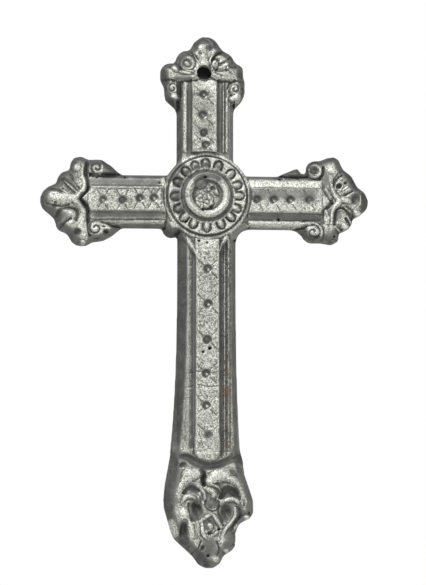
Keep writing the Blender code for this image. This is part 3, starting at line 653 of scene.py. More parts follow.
# %% Foot
walls = np.flatnonzero((Z < -96) & (Z > -110))
H[walls] = np.minimum(H[walls], WALL_FOOT + 1.35 * E[walls])
ridge(spots((207.6, 440), (208, 448.5)), [4.9, 4.75], 7.6, 7.4, 0.1)
hollow(spots((181, 455), (189, 457), (196, 461.5), (207, 465), (219, 463.5), (229, 459), (239, 457)),
       [1.2, 1.8, 1.9, 1.9, 1.8, 1.8, 1.4], 4.3, 6.4)
hollow(spots((230, 458), (233.5, 450), (234, 440)), [1.5, 1.2, 0.6], 4.3, 6.2)
carve(
    hollows=[
        (((200, 469), (203.5, 475), (204.5, 484)), [1.3, 1.8, 1.0], 3.4),
        (((184, 492), (190, 487), (198, 489.5)), [1.0, 1.6, 1.4], 4.6),
        (((221, 496), (226, 489), (232, 490), (238, 497)), [1.4, 2.0, 2.0, 1.5], 4.0),
    ],
    dishes=[
        ((231.6, 471), (1.7, 1.3), 20, 6.0), ((197.3, 508), (3.9, 2.5), -65, 4.0),
        ((225.5, 510.5), (4.1, 2.7), -70, 3.9),
        ((209.7, 532), (1.3, 1.2), 0, 4.6), ((209.5, 520), (1.2, 0.8), 0, 5.8),
        ((183.5, 530), (4.2, 1.9), 80, 3.6), ((202.5, 546.5), (1.6, 0.8), 60, 2.4),
        ((208.2, 554.2), (0.9, 0.7), 0, 2.6),
        ((249, 512), (0.8, 1.3), 0, 2.8), ((183, 464), (2.4, 1.6), 30, 4.8),
        ((200, 529), (1.0, 2.0), 10, 4.6),
    ],
    cuts=[
        (((183.5, 496), (188, 491.5), (193, 491), (198, 493)), 0.6, 0.7),
        (((189, 503), (189.5, 513), (192, 520)), 0.7, 1.2),
        (((219, 505), (218.5, 512), (222, 520), (219, 528)), 0.6, 1.2),
        (((240.5, 484), (243.5, 494), (244, 504)), 0.5, 1.0),
        (((214, 534), (218, 529), (223, 524)), 0.5, 1.3),
        (((238, 505), (240, 512), (239, 519)), 0.6, 1.1),
        (((195.5, 552), (199, 546), (201, 540)), 0.5, 1.1),
        (((217, 540), (219, 548), (216, 556)), 0.5, 1.1),
    ],
    ridges=[
        (((186, 480), (190, 474), (199, 472)), [2.8, 3.8, 2.3], [7.2, 8.3, 7.4]),
        (((186, 479), (181, 486), (178.5, 496)), [2.0, 1.5, 0.9], [7.4, 7.0, 5.8]),
        (((210, 481), (216, 476), (226, 473), (235, 470)), [2.2, 3.4, 3.0, 1.6], [7.6, 8.4, 8.0, 6.6]),
        (((224, 478), (233, 479), (239, 486), (243, 496), (245, 504)), [1.4, 2.2, 1.7, 1.2, 0.8],
         [7.8, 8.0, 7.4, 6.4, 5.2]),
        (((236, 469), (239, 476), (242, 486), (246, 497)), [0.7, 0.9, 1.1, 0.9], [6.6, 6.4, 6.0, 5.2]),
        (((212, 484), (218, 486.5), (220.5, 491)), 0.7, 7.7),
        (((201.5, 488), (204.5, 493), (205, 498)), 0.8, 7.2),
        (((209, 489), (214, 492), (213, 497)), [1.5, 1.7, 1.2], 7.4),
        (((182, 503), (184.5, 498), (189, 495.5), (195, 497.5), (197, 503)), [0.8, 1.3, 1.4, 1.2, 0.7],
         [6.4, 7.1, 7.3, 7.0, 6.4]),
        (((198.5, 496), (199.5, 503)), 0.6, 7.2),
        (((183, 507), (185, 513), (189, 519)), [1.6, 2.1, 1.2], [6.2, 7.0, 6.6]),
        (((178, 517), (183, 517)), [1.0, 1.4], [5.4, 6.6]),
        (((189.5, 520), (191.7, 528), (192.5, 536)), [1.0, 1.7, 1.4], [6.8, 7.4, 6.6]),
        (((196, 517), (198.5, 526), (199, 538)), [0.9, 1.1, 1.0], [6.8, 6.9, 6.2]),
        (((222, 504), (225, 500), (231, 498), (237, 500), (238.8, 505)), [0.8, 1.2, 1.4, 1.2, 0.8],
         [6.6, 7.3, 7.5, 7.3, 6.6]),
        (((235, 507), (235, 514), (231.5, 521), (225.5, 528), (221.5, 536)), [0.7, 0.95, 0.95, 1.0, 1.0],
         [7.2, 7.6, 7.6, 7.4, 6.8]),
        (((229, 531), (230.5, 537), (227, 544)), [1.4, 1.8, 1.4], [6.4, 6.4, 5.8]),
        (((242, 517), (237, 522), (233, 529)), [0.8, 0.8, 0.8], [6.2, 6.6, 6.2]),
        (((202, 522), (203, 531), (206, 537)), [0.9, 1.2, 0.9], [6.8, 7.3, 7.0]),
        (((213.5, 534), (217.5, 530.5)), [0.8, 0.8], [6.7, 7.0]),
        (((213, 514), (217, 519), (221.5, 526)), [1.0, 1.2, 0.8], [7.4, 7.6, 7.0]),
        (((211, 513.5), (205, 517), (199.5, 521)), [0.9, 1.2, 0.9], [7.3, 7.5, 6.9]),
        (((208, 538), (210, 545), (210, 550)), [2.6, 2.8, 1.8], [6.0, 6.3, 5.4]),
        (((200, 549), (196, 556), (201, 563)), [1.4, 1.8, 1.4], [5.4, 5.6, 4.6]),
        (((212, 553), (216, 557), (213, 563)), [1.0, 1.6, 1.4], [5.8, 6.2, 5.0]),
        (((222, 548), (228, 549), (233, 545)), [0.8, 1.0, 0.8], [6.0, 6.0, 5.2]),
    ],
    domes=[
        ((212.3, 502.8), (2.3, 2.1), 0, 8.2), ((210.3, 525), (1.5, 1.9), 20, 7.5),
        ((206.5, 530.5), (1.2, 0.9), 50, 6.9),
        ((246.5, 515.5), (1.7, 1.2), 20, 6.4), ((194, 541), (2.0, 1.8), 0, 6.0),
        ((192.5, 548), (1.5, 1.0), -20, 5.4),
        ((228, 506), (1.0, 0.7), 30, 5.6), ((223.5, 515), (0.9, 0.7), -40, 5.2),
        ((200.5, 514), (1.0, 0.7), 60, 5.2),
    ],
)
groove(spots(*ring_of((212.3, 503), 7.0, 150, 240)), 0.45, 0.9)

# %% [markdown]
# Sand leaves its mark. The face is slightly uneven all over and pocked with a few gas holes. Two hairline
# cracks cross the shaft, and a short one lies on the top lobe.

# %% Casting faults
PITS = [(280, 177.7, 1.0), (278.3, 218.7, 0.95), (125.8, 177.3, 0.8), (209.7, 348.3, 0.75), (203, 352, 0.5),
        (186, 222, 0.6), (160, 183, 0.5), (291, 226, 0.5), (205, 178, 0.5), (98, 178, 0.6),
        (222, 240.5, 0.6), (199, 241, 0.5), (207, 243, 0.4), (352, 180, 0.5), (64, 190, 0.5)]
for px, py, size in PITS:
    dish(spot(px, py), (size, size), 0, 2.6, 8.2, 0.15)
CRACKS = [spots((190, 372.5), (200, 371.5), (211, 372.5), (222, 371)),
          spots((173, 386), (186, 387), (199, 385), (210, 386.5), (222, 385.5)),
          spots((217, 43), (213.5, 46.5), (209, 50.5))]
for stops in CRACKS:
    groove(stops, 0.3, 0.35)
rng = np.random.default_rng(7)
waves = rng.uniform(-1, 1, (24, 2)) / rng.uniform(1.2, 5.0, (24, 1)) * 2.2
phases = rng.uniform(0, math.tau, 24)
uneven = sum(math.pow(np.hypot(*w), -0.6) * np.sin(X * w[0] + Z * w[1] + p) for w, p in zip(waves, phases))
H += 0.022 * uneven
H = np.clip(H, 0.9, 10.6)
print("Heights from", round(H.min(), 2), "to", round(H.max(), 2), "mm")

# %% [markdown]
# The new heights go back to the points, and the skin is relaxed a little, so that no point stands out
# alone. Near the outline it is relaxed more, but only sideways, which takes the steps out of the edge.
# Then it is thinned: flat places need few triangles and curved ones keep theirs.

# %% Put the relief back and thin the skin
MOST_TRIANGLES = 190_000
points[FACE, 1] = -H


def edges_of(mesh):
    pairs = np.empty(len(mesh.edges) * 2, np.int32)
    mesh.edges.foreach_get("vertices", pairs)
    return pairs.reshape(-1, 2)


def relax(values, pairs, rounds, share=0.5):
    """Moves each value towards the mean of its neighbours'."""
    n = len(values)
    degree = np.bincount(pairs.ravel(), minlength=n)[:, None].clip(1)
    values = values.reshape(n, -1).copy()
    for _ in range(rounds):
        total = np.zeros_like(values)
        for k in range(values.shape[1]):
            total[:, k] = (np.bincount(pairs[:, 0], values[pairs[:, 1], k], n)
                           + np.bincount(pairs[:, 1], values[pairs[:, 0], k], n))
        values += share * (total / degree - values)
    return values


pairs = edges_of(casting.data)
points = relax(points, pairs, 1, 0.35)
near_edge = np.clip(1.6 - from_edge(edge_tree, points[:, 0], points[:, 2]) / 1.2, 0, 1)[:, None]
points[:, [0, 2]] += near_edge * (relax(points[:, [0, 2]], pairs, 20) - points[:, [0, 2]])
points[:, 1] = np.minimum(points[:, 1], 0.0)
casting.data.vertices.foreach_set("co", (points / 1000).astype(np.float32).ravel())
casting.data.update()
quads = len(casting.data.polygons)
apply(casting, "DECIMATE", ratio=min(1.0, MOST_TRIANGLES / (2 * quads)))
triangles = sum(face.loop_total - 2 for face in casting.data.polygons)
print("Thinned from", 2 * quads, "to", triangles, "triangles")

# %% [markdown]
# Paint and dirt follow the form, so the mesh carries numbers at each point for the paint to read. Two say
# how far the point lies in a hollow, by comparing it with its relaxed surroundings at a fine and a broad
# scale. The third, made in the next cell, is the wear and painted light: below nought where the dark film
# has stayed and where shade is painted, above where the silver was rubbed bright and where highlights are
# painted. The plain back gets one even value of each.

# %% Measure hollows and walls
BACK_DEPTH = 0.35
points, directions = read_points(casting.data)
pairs = edges_of(casting.data)
fine = ((relax(points, pairs, 3) - points) * directions).sum(1)
broad = ((relax(points, pairs, 30) - points) * directions).sum(1)
soft = relax(directions, pairs, 6)
X, Z, H = points[:, 0], points[:, 2], -points[:, 1]
E = from_edge(edge_tree, X, Z)
FRONT = soft[:, 1] < 0.1
BACK = H < BACK_DEPTH
fine[BACK] = broad[BACK] = 0.0
LEAN = (soft[:, 2] * 0.75 - soft[:, 0] * 0.65).clip(-1, 1)
print("fine", np.percentile(fine, [5, 50, 95]).round(3), "broad", np.percentile(broad, [5, 50, 95]).round(3))

# %% [markdown]
# The wear and painted light are brushed on, as one would do in vertex paint. Bands inside the outline come
# first: dark film on the walls with painted shade, darker where a wall looks left and up. Then come strokes:
# each is an amount, a width in pixels and the pixels that it passes. A plus rubs the silver bright in some
# places and paints a highlight in others, and a minus leaves the dark film in some and paints shade in
# others.

# %% Brush on the wear and painted light
BACK_FILM = -0.45
WEAR_AND_LIGHT = np.zeros(len(X))


def tone_stroke(amount, width, stops):
    """One soft stroke through places in millimetres; a narrow one is broken up along its way."""
    line = smooth_line(stops)
    radius = width * MM_PER_PIXEL / 2
    ids, d, share = near(line, radius * 1.7)
    way = share * len(line) * 1.9
    broken = 1.0 if width > 3 or len(line) < 12 else 0.65 + 0.45 * np.sin(way + 2.0 * np.sin(0.37 * way))
    WEAR_AND_LIGHT[ids] += amount * broken * np.clip(1.5 - d / radius, 0, 1) * FRONT[ids]


def brush(amount, width, *pixels, height=USUAL_HEIGHT):
    """The same through pixels of the picture."""
    tone_stroke(amount, width, [spot(*pixel, height) for pixel in pixels])


def edge_shade(zone, reach, left_up, right_down, soft_part):
    """Darkens a band inside the outline, dark film with painted shade, more where the wall looks left and up.
    """
    share = np.clip((reach - E) / (soft_part * reach), 0, 1) * zone
    tilt = np.clip(0.5 + 0.9 * LEAN, 0, 1)
    return share * (right_down + (left_up - right_down) * tilt)


ends = (X < -48) | (X > 46.5) | (Z > 50)
ends |= ((abs(Z) > 11) & (abs(X) > 28) & (Z > -60)) | ((abs(X) > 12) & (Z > 36))
foot_zone = Z < -101
arms = ~ends & ~foot_zone
sides = arms & (abs(X) > 17.5)
upright = arms & ~sides
for zone, reach, left_up, right_down, soft_part in (
        (ends, 3.6, 0.95, 0.45, 0.45), (foot_zone, 4.2, 0.95, 0.45, 0.45),
        (upright & (X < 0) & (Z < 15), 3.9, 1.0, 1.0, 0.15),
        (upright & (X < 0) & (Z >= 15), 2.4, 1.0, 1.0, 0.2),
        (upright & (X > 0) & (Z < 15), 2.7, 0.5, 0.5, 0.2),
        (upright & (X > 0) & (Z >= 15), 2.7, 0.3, 0.3, 0.2),
        (sides & (Z > 0), 1.7, 0.6, 0.6, 0.3), (sides & (Z < 0), 1.6, 0.5, 0.5, 0.3)):
    WEAR_AND_LIGHT -= edge_shade(zone, reach, left_up, right_down, soft_part)

# In the stroke tables real wear and film mix with painted light: the bright band along the top of the right
# arm is a painted highlight, and the dark strokes down the right of the shaft are painted shade with the
# film.
ARM_STROKES = [
    (0.9, 7.5, (252, 183.5), (290, 183.5), (319, 182.5)), (0.9, 5.5, (250, 223), (285, 223.5), (300, 224)),
    (-0.5, 6, (252, 215.5), (300, 215.5), (314, 216), (322, 221)), (-0.35, 11, (252, 194), (312, 194)),
    (0.45, 9, (256, 206), (319, 206)), (-0.35, 7, (93, 182), (160, 182)),
    (0.8, 2, (100, 186.8), (158, 186.8)), (-0.4, 7, (98, 215.5), (160, 214.5)),
    (-0.8, 2.0, (96, 221.0), (160, 219)), (-0.15, 8, (104, 226), (162, 226)),
    (-0.8, 2.5, (104, 177.5), (160, 177.5)), (-0.6, 5.5, (193.8, 250), (193.8, 340), (192.5, 445)),
    (-0.22, 5, (188, 250), (187, 445)), (-0.85, 4.2, (221.5, 243), (221.5, 340), (221.8, 452)),
    (-0.9, 2.2, (226.8, 243), (226.8, 450)), (-0.7, 1.5, (230.3, 245), (230.5, 450)),
    (-0.95, 1.8, (182, 90), (181.8, 150)), (-0.35, 4, (189, 86), (189, 155)),
    (-0.6, 4, (219, 84), (219, 152)), (-0.9, 1.8, (222.3, 84), (221.8, 152)),
    (-0.9, 1.6, (225, 84), (225, 152)), (-0.2, 24, (203, 90), (205, 150)),
    (0.2, 24, (208, 385), (208, 452)), (0.5, 2.2, (197.5, 250), (197.5, 440)),
    (0.4, 1.6, (191.5, 250), (191, 440)), (0.35, 1.4, (224.5, 285), (224.8, 440)),
    (-0.35, 3, (228.6, 245), (228.8, 450)), (-0.6, 8, (166, 231), (175, 234)),
    (0.9, 4, (163.5, 182), (163.5, 186)), (0.5, 2, (165.5, 190), (165.5, 208)),
    (-0.9, 1.8, (162.3, 186), (162, 210)),
]
LEFT_STROKES = [
    (0.5, 10, (56, 197)), (0.35, 8, (64, 200), (78, 200)), (0.6, 5, (84, 180), (84.5, 191)),
    (0.7, 5, (84, 212), (82, 228)), (0.8, 7, (78, 169)), (0.6, 3, (70, 185), (77, 193)),
    (0.6, 3, (63, 192), (68, 196)), (0.6, 5, (72.5, 214)), (0.7, 6, (71, 224)),
    (0.5, 5, (86, 238), (84, 243)), (-1.2, 4, (56, 207)), (-0.6, 6, (62, 214), (66, 218)),
    (-0.4, 8, (78, 233)), (-0.6, 3, (52, 191), (62, 193)), (-0.35, 10, (66, 179), (72, 180)),
    (-0.5, 4.8, (88, 166), (87, 180), (88.5, 190), (81, 199.5), (87, 208), (89, 218), (91, 232)),
    (-0.4, 12, (106, 170), (112, 172)), (-0.2, 10, (97, 168.5)), (0.5, 2, (103, 166), (102.5, 172)),
    (0.3, 10, (97, 229)), (0.6, 2.5, (103, 226), (110, 229)), (-0.5, 5, (107, 233)),
    (0.25, 12, (92, 200), (100, 202)),
]
RIGHT_STROKES = [
    (0.9, 8, (331, 168)), (0.5, 3, (337, 182)), (0.6, 5, (345, 187)), (0.6, 7, (346, 198)),
    (0.9, 9, (357, 212)), (0.9, 8, (344, 224)), (0.8, 2.5, (347, 215), (350.5, 222)),
    (0.9, 2.5, (331.5, 210), (331, 226)), (0.5, 5, (326.5, 217)),
    (0.6, 4, (332, 184), (334, 192), (338, 200), (332, 207)), (0.5, 2, *ring_of((314.5, 169.5), 6)),
    (0.6, 3, (303, 223), (313, 223), (320, 228), (320, 236)), (0.5, 4, (310, 230)),
    (0.6, 1.5, (359.8, 194), (359.5, 203)), (-0.6, 10, (354.5, 197.5)),
    (-0.6, 2.5, (333.5, 190), (334, 182), (338, 175)), (-0.3, 10, (347, 177), (352, 183)),
    (-0.4, 5, (336, 218), (337, 211)), (-1.0, 4, (310, 236.5), (317, 236.5)), (-0.5, 7, (304, 233)),
    (-0.35, 8, (325, 172), (325, 182)), (-0.3, 6, (325, 193)), (-0.9, 3, (331.7, 202)),
    (-0.5, 8, (364, 195), (364, 206)), (-0.5, 5, (314, 170)), (-0.3, 9, (329, 234)),
    (0.6, 2, (334.5, 225.5), (339, 229.5)), (-0.9, 5, (280, 177.5)),
]
TOP_STROKES = [
    (-0.4, 3.2, *ring_of((187.5, 62), 9.5, 30, 210)), (-0.35, 3.2, *ring_of((221, 61.5), 10, -60, 210)),
    (-0.5, 2.5, (188, 50), (193, 54), (197, 59)), (-0.5, 2.5, (223, 51), (217, 53.5), (212, 59)),
    (0.25, 10, (220, 62)), (1.0, 6, (202, 47)), (0.5, 6, (199, 62), (206, 64)),
    (0.6, 1.8, (194, 55), (199, 63)), (0.5, 3, (213, 54), (211, 60)), (0.35, 7, (188, 64)),
    (0.9, 6, (175, 68)), (0.6, 3, (183, 72), (190, 73)), (0.7, 5, (225, 66)), (0.35, 4, (215, 75)),
    (0.7, 6, (171.5, 86)), (0.5, 5, (174, 96)), (0.8, 5, (234, 83)), (0.8, 8, (236, 97)),
    (0.3, 10, (195, 87), (213, 88)), (-0.4, 8, (198, 39), (212, 40)), (-0.8, 4, (208, 47), (214, 45)),
    (-0.4, 4, (182, 66)), (-0.35, 4, (176, 77.5), (190, 77.5)), (-0.4, 8, (164, 75)), (-0.3, 7, (240, 74)),
    (-0.8, 5, (179, 86), (179.5, 94)), (-0.45, 10, (170, 104)), (-0.5, 2.5, (210.5, 64)),
    (-0.3, 6, (184, 56)),
]
FOOT_STROKES = [
    (0.65, 10, (189, 475), (196, 474)), (0.65, 10, (210, 479), (215, 475), (223, 473)),
    (0.3, 8, (230, 479), (239, 484)), (0.25, 6, (183, 482), (179.5, 492)), (0.2, 6, (241, 488), (244, 500)),
    (0.5, 5, (204, 489), (215, 488)), (0.6, 2.5, (185, 499), (189, 495.5), (194, 497)),
    (0.8, 9, (184, 512)), (0.9, 5, (190.5, 523), (192, 534)), (0.5, 4, (201, 519), (203, 531), (207, 537)),
    (0.9, 2.5, (235, 508), (234, 515), (225, 528)), (0.7, 3, (226, 499), (232, 497.5), (237, 500)),
    (0.7, 4, (214, 508)), (0.9, 4, (210, 525)), (0.7, 2.5, (214, 516), (221, 526)), (0.8, 5, (246, 516)),
    (0.5, 5, (235, 525)), (0.9, 4, (222, 537)), (0.6, 6, (216, 557)), (0.4, 5, (226, 549)),
    (0.7, 2.5, (203, 528), (204, 535)), (0.5, 4, (181, 484), (178, 495)),
    (-0.5, 8, (183, 456), (190, 458), (198, 462.5), (208, 465), (220, 463), (230, 459), (239, 457)),
    (-0.8, 6, (202.5, 471), (204, 482)), (-0.4, 6, (231.5, 471)), (-0.5, 9, (192, 487)),
    (-0.7, 11, (225, 491), (234, 491)), (-0.5, 6, (194, 506), (194, 518)),
    (-0.6, 10, (195.5, 503), (199, 513)), (-0.6, 11, (227, 507), (224.5, 515)), (-0.5, 9, (212, 502)),
    (-0.5, 3, (208, 519), (211, 520)), (-0.5, 12, (209, 542), (210, 549)),
    (-0.8, 8, (184, 524), (185, 538)), (0.9, 7, (172, 522), (175, 532)),
    (-0.45, 10, (199, 553), (203, 561)), (-0.3, 6, (240, 505), (240, 515)),
    (-0.4, 12, (175, 462), (172, 500)), (-0.5, 5, (171, 508)), (-0.5, 4, (186, 465)), (-0.3, 6, (226, 542)),
]
TOP_PANEL_STROKES = [
    (0.8, 3, (193, 137), (199, 134.5)), (0.8, 3, (208.5, 133.5), (215, 137)),
    (0.7, 5, (196, 139), (208, 139)), (0.8, 2.5, (193, 148), (200, 145)),
    (0.8, 2.5, (209, 145.5), (216, 149)), (0.6, 8, (192, 85), (203, 83), (213, 87)),
    (-0.35, 3, (193, 94), (200, 95)), (-0.35, 3, (208, 94), (214, 90)), (0.6, 3, (195, 98), (201, 97.5)),
    (0.5, 3, (194, 117), (199, 119)), (0.5, 3, (210, 112), (214, 118)),
]
MEDALLION_STROKES = [
    (0.7, 4, (184, 160), (186, 154)), (0.8, 4, (219, 152), (223, 157)), (0.3, 4, (229, 160), (238, 168)),
    (0.6, 4, (187, 238), (192, 243), (196.5, 254)), (0.5, 3.5, (223, 238), (219, 249)),
    (0.45, 15, (205, 241), (207, 250)), (-0.7, 1.5, *ring_of((206.7, 195.6), 39.3, steps=40)),
    (0.6, 3.5, *ring_of((206.7, 195.6), 42.7, steps=40)),
    (-0.35, 9, *ring_of((206.7, 195.0), 31.0, 140, 75, 12)),
    (0.25, 3.0, *ring_of((206.7, 195.6), 36.8, -150, 190, 30)), (-0.6, 9, (199, 184), (203, 181)),
    (0.6, 6, (199, 203), (206, 206)), (0.5, 3, (203, 198), (212, 203)),
    (0.4, 5, *ring_of((206.7, 194.5), 19.3, 200, 200)), (-0.8, 3, (213, 187.6)), (-0.8, 3, (211.4, 207)),
]
for strength, strokes in ((1.0, ARM_STROKES), (1.3, LEFT_STROKES), (1.2, RIGHT_STROKES), (1.3, TOP_STROKES),
                          (1.0, TOP_PANEL_STROKES), (1.5, FOOT_STROKES), (1.0, MEDALLION_STROKES)):
    for amount, width, *pixels in strokes:
        brush(strength * amount, width, *pixels)
for pixel, radius, start, turn, _ in SCROLLS:
    brush(0.35, radius * 1.6, pixel)
    brush(-0.55, 1.9, *spiral(pixel, radius, start, turn))
# Over each stud a dark patch of film and painted shade, then a painted highlight low on its right, of three
# strengths in turn.
for i, (px, py) in enumerate(SHAFT_STUDS + TOP_STUDS + LEFT_STUDS + RIGHT_STUDS):
    brush(-1.4, 7.5, (px, py), height=PANEL_TOP)
    brush((2.3, 2.6, 0.9)[i % 3], 3.1, (px + 1.0, py + 1.2), (px + 1.6, py + 2.0), height=PANEL_TOP)
# Each egg's socket gets dark film with painted shade. Each egg is painted lighter towards the lower right and
# darker towards the upper left, and the web between eggs is lightest on the right.
for i, angle in enumerate(EGG_ANGLES):
    tone_stroke(-0.5 - 0.25 * math.sin(2.3 * i), 2.6, egg_socket(angle, 1.6))
    tone_stroke(-0.1 + 0.75 * math.cos(angle + 1.05), 4.0, [on_spoke(angle, 12.6)])
    between = angle + math.pi / EGGS
    tone_stroke(0.65 + 0.35 * math.cos(between), 2.2, [on_spoke(between, 12.4), on_spoke(between, 15.6)])
# Painted light round the flower: a light band just inside the outer groove, painted shade at the top and left
# of the smooth ring, a painted highlight along its lower side and a faint dark line all round.
tone_stroke(0.35, 3.5, arc(15.6, -2.6, 3.0))
tone_stroke(-0.6, 4.5, arc(8.0, 0.9, 2.3, 12))
tone_stroke(-0.4, 2.0, arc(7.0, 1.9, 3.9, 16))
tone_stroke(0.4, 4.5, arc(8.0, -2.8, 0.5, 24))
tone_stroke(-0.15, 3.0, arc(10.2))
tone_stroke(-0.45, 3.5, arc(10.2, 1.9, 4.6, 20))
WEAR_AND_LIGHT[BACK] = BACK_FILM
for name, values in (("fine", fine), ("broad", broad), ("wear_and_light", WEAR_AND_LIGHT)):
    layer = casting.data.attributes.new(name, "FLOAT", "POINT")
    layer.data.foreach_set("value", values.astype(np.float32))
print("Wear from", round(WEAR_AND_LIGHT.min(), 2), "to", round(WEAR_AND_LIGHT.max(), 2))

# %% [markdown]
# Shader maths reads best as maths. This small class wraps a socket, so that a + b or 1 - a writes the
# Math node, and its make method writes any other node from its type, settings and inputs. The last helper
# starts a material, with what is the same all over it set on the shader's own sockets.

# %% A socket that does sums
class Sock:
    tree = None

    def __init__(self, socket):
        self.socket = socket

    @classmethod
    def make(cls, kind, settings=None, inputs=None, out=0):
        node = cls.tree.nodes.new(kind)
        for key, value in (settings or {}).items():
            setattr(node, key, value)
        for key, value in (inputs or {}).items():
            if isinstance(value, Sock):
                value.into(node, key)
            else:
                node.inputs[key].default_value = value
        return cls(node.outputs[out])

    @classmethod
    def sums(cls, operation, *values, clamp=False):
        return cls.make("ShaderNodeMath", {"operation": operation, "use_clamp": clamp},
                        dict(enumerate(values)))

    def __add__(self, other):
        return Sock.sums("ADD", self, other)

    def __radd__(self, other):
        return Sock.sums("ADD", other, self)

    def __sub__(self, other):
        return Sock.sums("SUBTRACT", self, other)

    def __rsub__(self, other):
        return Sock.sums("SUBTRACT", other, self)

    def __mul__(self, other):
        return Sock.sums("MULTIPLY", self, other)

    def __rmul__(self, other):
        return Sock.sums("MULTIPLY", other, self)

    def into(self, node, name):
        """Joins this socket to an input of a node."""
        Sock.tree.links.new(self.socket, node.inputs[name])

    def clip(self):
        return Sock.sums("MULTIPLY", self, 1.0, clamp=True)

    def span(self, low, high):
        """0 at low, 1 at high, held at both ends."""
        return Sock.make("ShaderNodeMapRange", {"clamp": True}, {0: self, 1: low, 2: high, 3: 0.0, 4: 1.0})


def blend_colours(share, a, b, mode="MIX"):
    node = {"data_type": "RGBA", "blend_type": mode}
    return Sock.make("ShaderNodeMix", node, {0: share, 6: a, 7: b}, out=2)


def noise(place, scale, detail=4.0, rough=0.6):
    return Sock.make("ShaderNodeTexNoise", {},
                     {"Vector": place, "Scale": scale, "Detail": detail, "Roughness": rough})


def new_material(name, values=None):
    """A new material and its shader; the nodes made next go into it."""
    material = bpy.data.materials.new(name)
    material.use_nodes = True
    Sock.tree = material.node_tree
    shader = material.node_tree.nodes["Principled BSDF"]
    for key, value in (values or {}).items():
        shader.inputs[key].default_value = value
    return material, shader

# %% [markdown]
# The finish is aluminium paint over dark iron. Three tones mix: bright paint where hands rubbed it and
# where highlights are painted, duller mottled paint over most of the face, and a brown-black film in the
# hollows and down the outer walls, which also carries painted shade.
# Fine grains of sand show as a small bump, and a trace of rust follows the right-hand moulding.

# %% Silver paint
RUST_LEFT, RUST_RIGHT, RUST_LOW, RUST_HIGH = 5.2 * MM, 9.6 * MM, -107.0 * MM, -60.0 * MM
silver, shader = new_material("silver_paint_wear_and_light")


def attribute(name):
    return Sock.make("ShaderNodeAttribute", {"attribute_name": name}, out=2)


place = Sock.make("ShaderNodeTexCoord", out=3)
x, y, z = (Sock.make("ShaderNodeSeparateXYZ", {}, {0: place}, out=i) for i in range(3))
cloud = noise(place, 190.0, 5.0, 0.65)
mottle = noise(place, 1150.0, 3.0, 0.75)
grain = noise(place, 2300.0, 1.0, 0.5)
deep = (attribute("fine") + (mottle - 0.5) * 0.05).span(0.008, 0.07)
wide = (attribute("broad") + (cloud - 0.5) * 0.12).span(0.08, 0.45)
high = (attribute("broad") * -1.0 + (cloud - 0.5) * 0.10).span(0.02, 0.30)
wear_and_light = attribute("wear_and_light") + (cloud - 0.5) * 0.2
# Below nought the wear attribute gives dark film and painted shade, above it rubbed silver and painted
# highlights.
worn_dark_and_shade = (wear_and_light * -1.0).span(0.0, 1.0)
worn_bright_and_highlight = (wear_and_light + (mottle - 0.5) * 0.8).span(0.05, 1.0)
film_and_shade = Sock.sums("MAXIMUM", Sock.sums("MAXIMUM", deep * 0.9, wide * 0.75), worn_dark_and_shade)
film_and_shade = (film_and_shade * (1 - worn_bright_and_highlight * 0.6)).clip()
thin_film_and_shade, thick_film_and_shade = film_and_shade.span(0.08, 0.40), film_and_shade.span(0.40, 1.0)
dull = blend_colours(worn_bright_and_highlight, (0.12, 0.12, 0.105, 1), (0.34, 0.34, 0.31, 1))
bright = blend_colours(worn_bright_and_highlight, (0.50, 0.505, 0.445, 1), (0.84, 0.85, 0.76, 1))
paint = blend_colours(mottle.span(0.38, 0.62), dull, bright)
paint = blend_colours(high * 0.35, paint, (0.60, 0.60, 0.55, 1))
paint = blend_colours((1 - grain.span(0.34, 0.46)) * 0.65, paint, (0.05, 0.05, 0.042, 1))
paint = blend_colours(grain.span(0.56, 0.68) * 0.6, paint, (0.80, 0.80, 0.74, 1))
grey = blend_colours(cloud.span(0.35, 0.65), (0.125, 0.125, 0.113, 1), (0.175, 0.175, 0.162, 1))
dark = blend_colours(cloud.span(0.35, 0.65), (0.042, 0.042, 0.037, 1), (0.080, 0.080, 0.073, 1))
dark = blend_colours((1 - grain.span(0.36, 0.46)) * 0.5, dark, (0.02, 0.02, 0.017, 1))
dark = blend_colours(mottle.span(0.54, 0.68) * 0.3, dark, (0.19, 0.19, 0.172, 1))
colour = blend_colours(thick_film_and_shade, blend_colours(thin_film_and_shade, paint, grey), dark)
channel = x.span(RUST_LEFT, RUST_LEFT + 1.5 * MM) * (1 - x.span(RUST_RIGHT, RUST_RIGHT + 1 * MM))
channel = channel * z.span(RUST_LOW, RUST_LOW + 8 * MM) * (1 - z.span(-20 * MM, -17 * MM))
colour = blend_colours(channel * mottle.span(0.54, 0.64) * 0.6, colour, (0.36, 0.36, 0.32, 1))
colour = blend_colours(channel * (1 - mottle.span(0.36, 0.46)) * 0.8, colour, (0.022, 0.022, 0.018, 1))
rust_zone = channel * (1 - z.span(RUST_HIGH, RUST_HIGH + 9 * MM))
rust = rust_zone * cloud.span(0.50, 0.66) * (1 - y.span(-4.0 * MM, -2.0 * MM))
colour = blend_colours(rust * 0.7, colour, (0.17, 0.085, 0.035, 1))
colour.into(shader, "Base Color")
rough = 0.46 + 0.14 * film_and_shade + (mottle - 0.5) * 0.4
rough.clip().into(shader, "Roughness")
metal = 0.45 - 0.3 * film_and_shade
metal.clip().into(shader, "Metallic")
relief = (mottle * 0.6 + grain * 0.5) * (1 - thin_film_and_shade * 0.75)
bump = Sock.make("ShaderNodeBump", {}, {"Strength": 0.6, "Distance": 0.00042, "Height": relief})
bump.into(shader, "Normal")
print("Nodes of the paint:", len(silver.node_tree.nodes))

casting.data.materials.clear()
casting.data.materials.append(silver)
alone(casting)
bpy.ops.object.shade_smooth()
for face in casting.data.polygons:
    if face.normal.y > 0.98:
        face.use_smooth = False
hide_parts("cross")
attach(casting, "root")

# %% [markdown]
# The floor is a pale disc well below the foot. It stays out of the picture's frame, as the cross was
# pictured on plain white, and shows only from other sides.

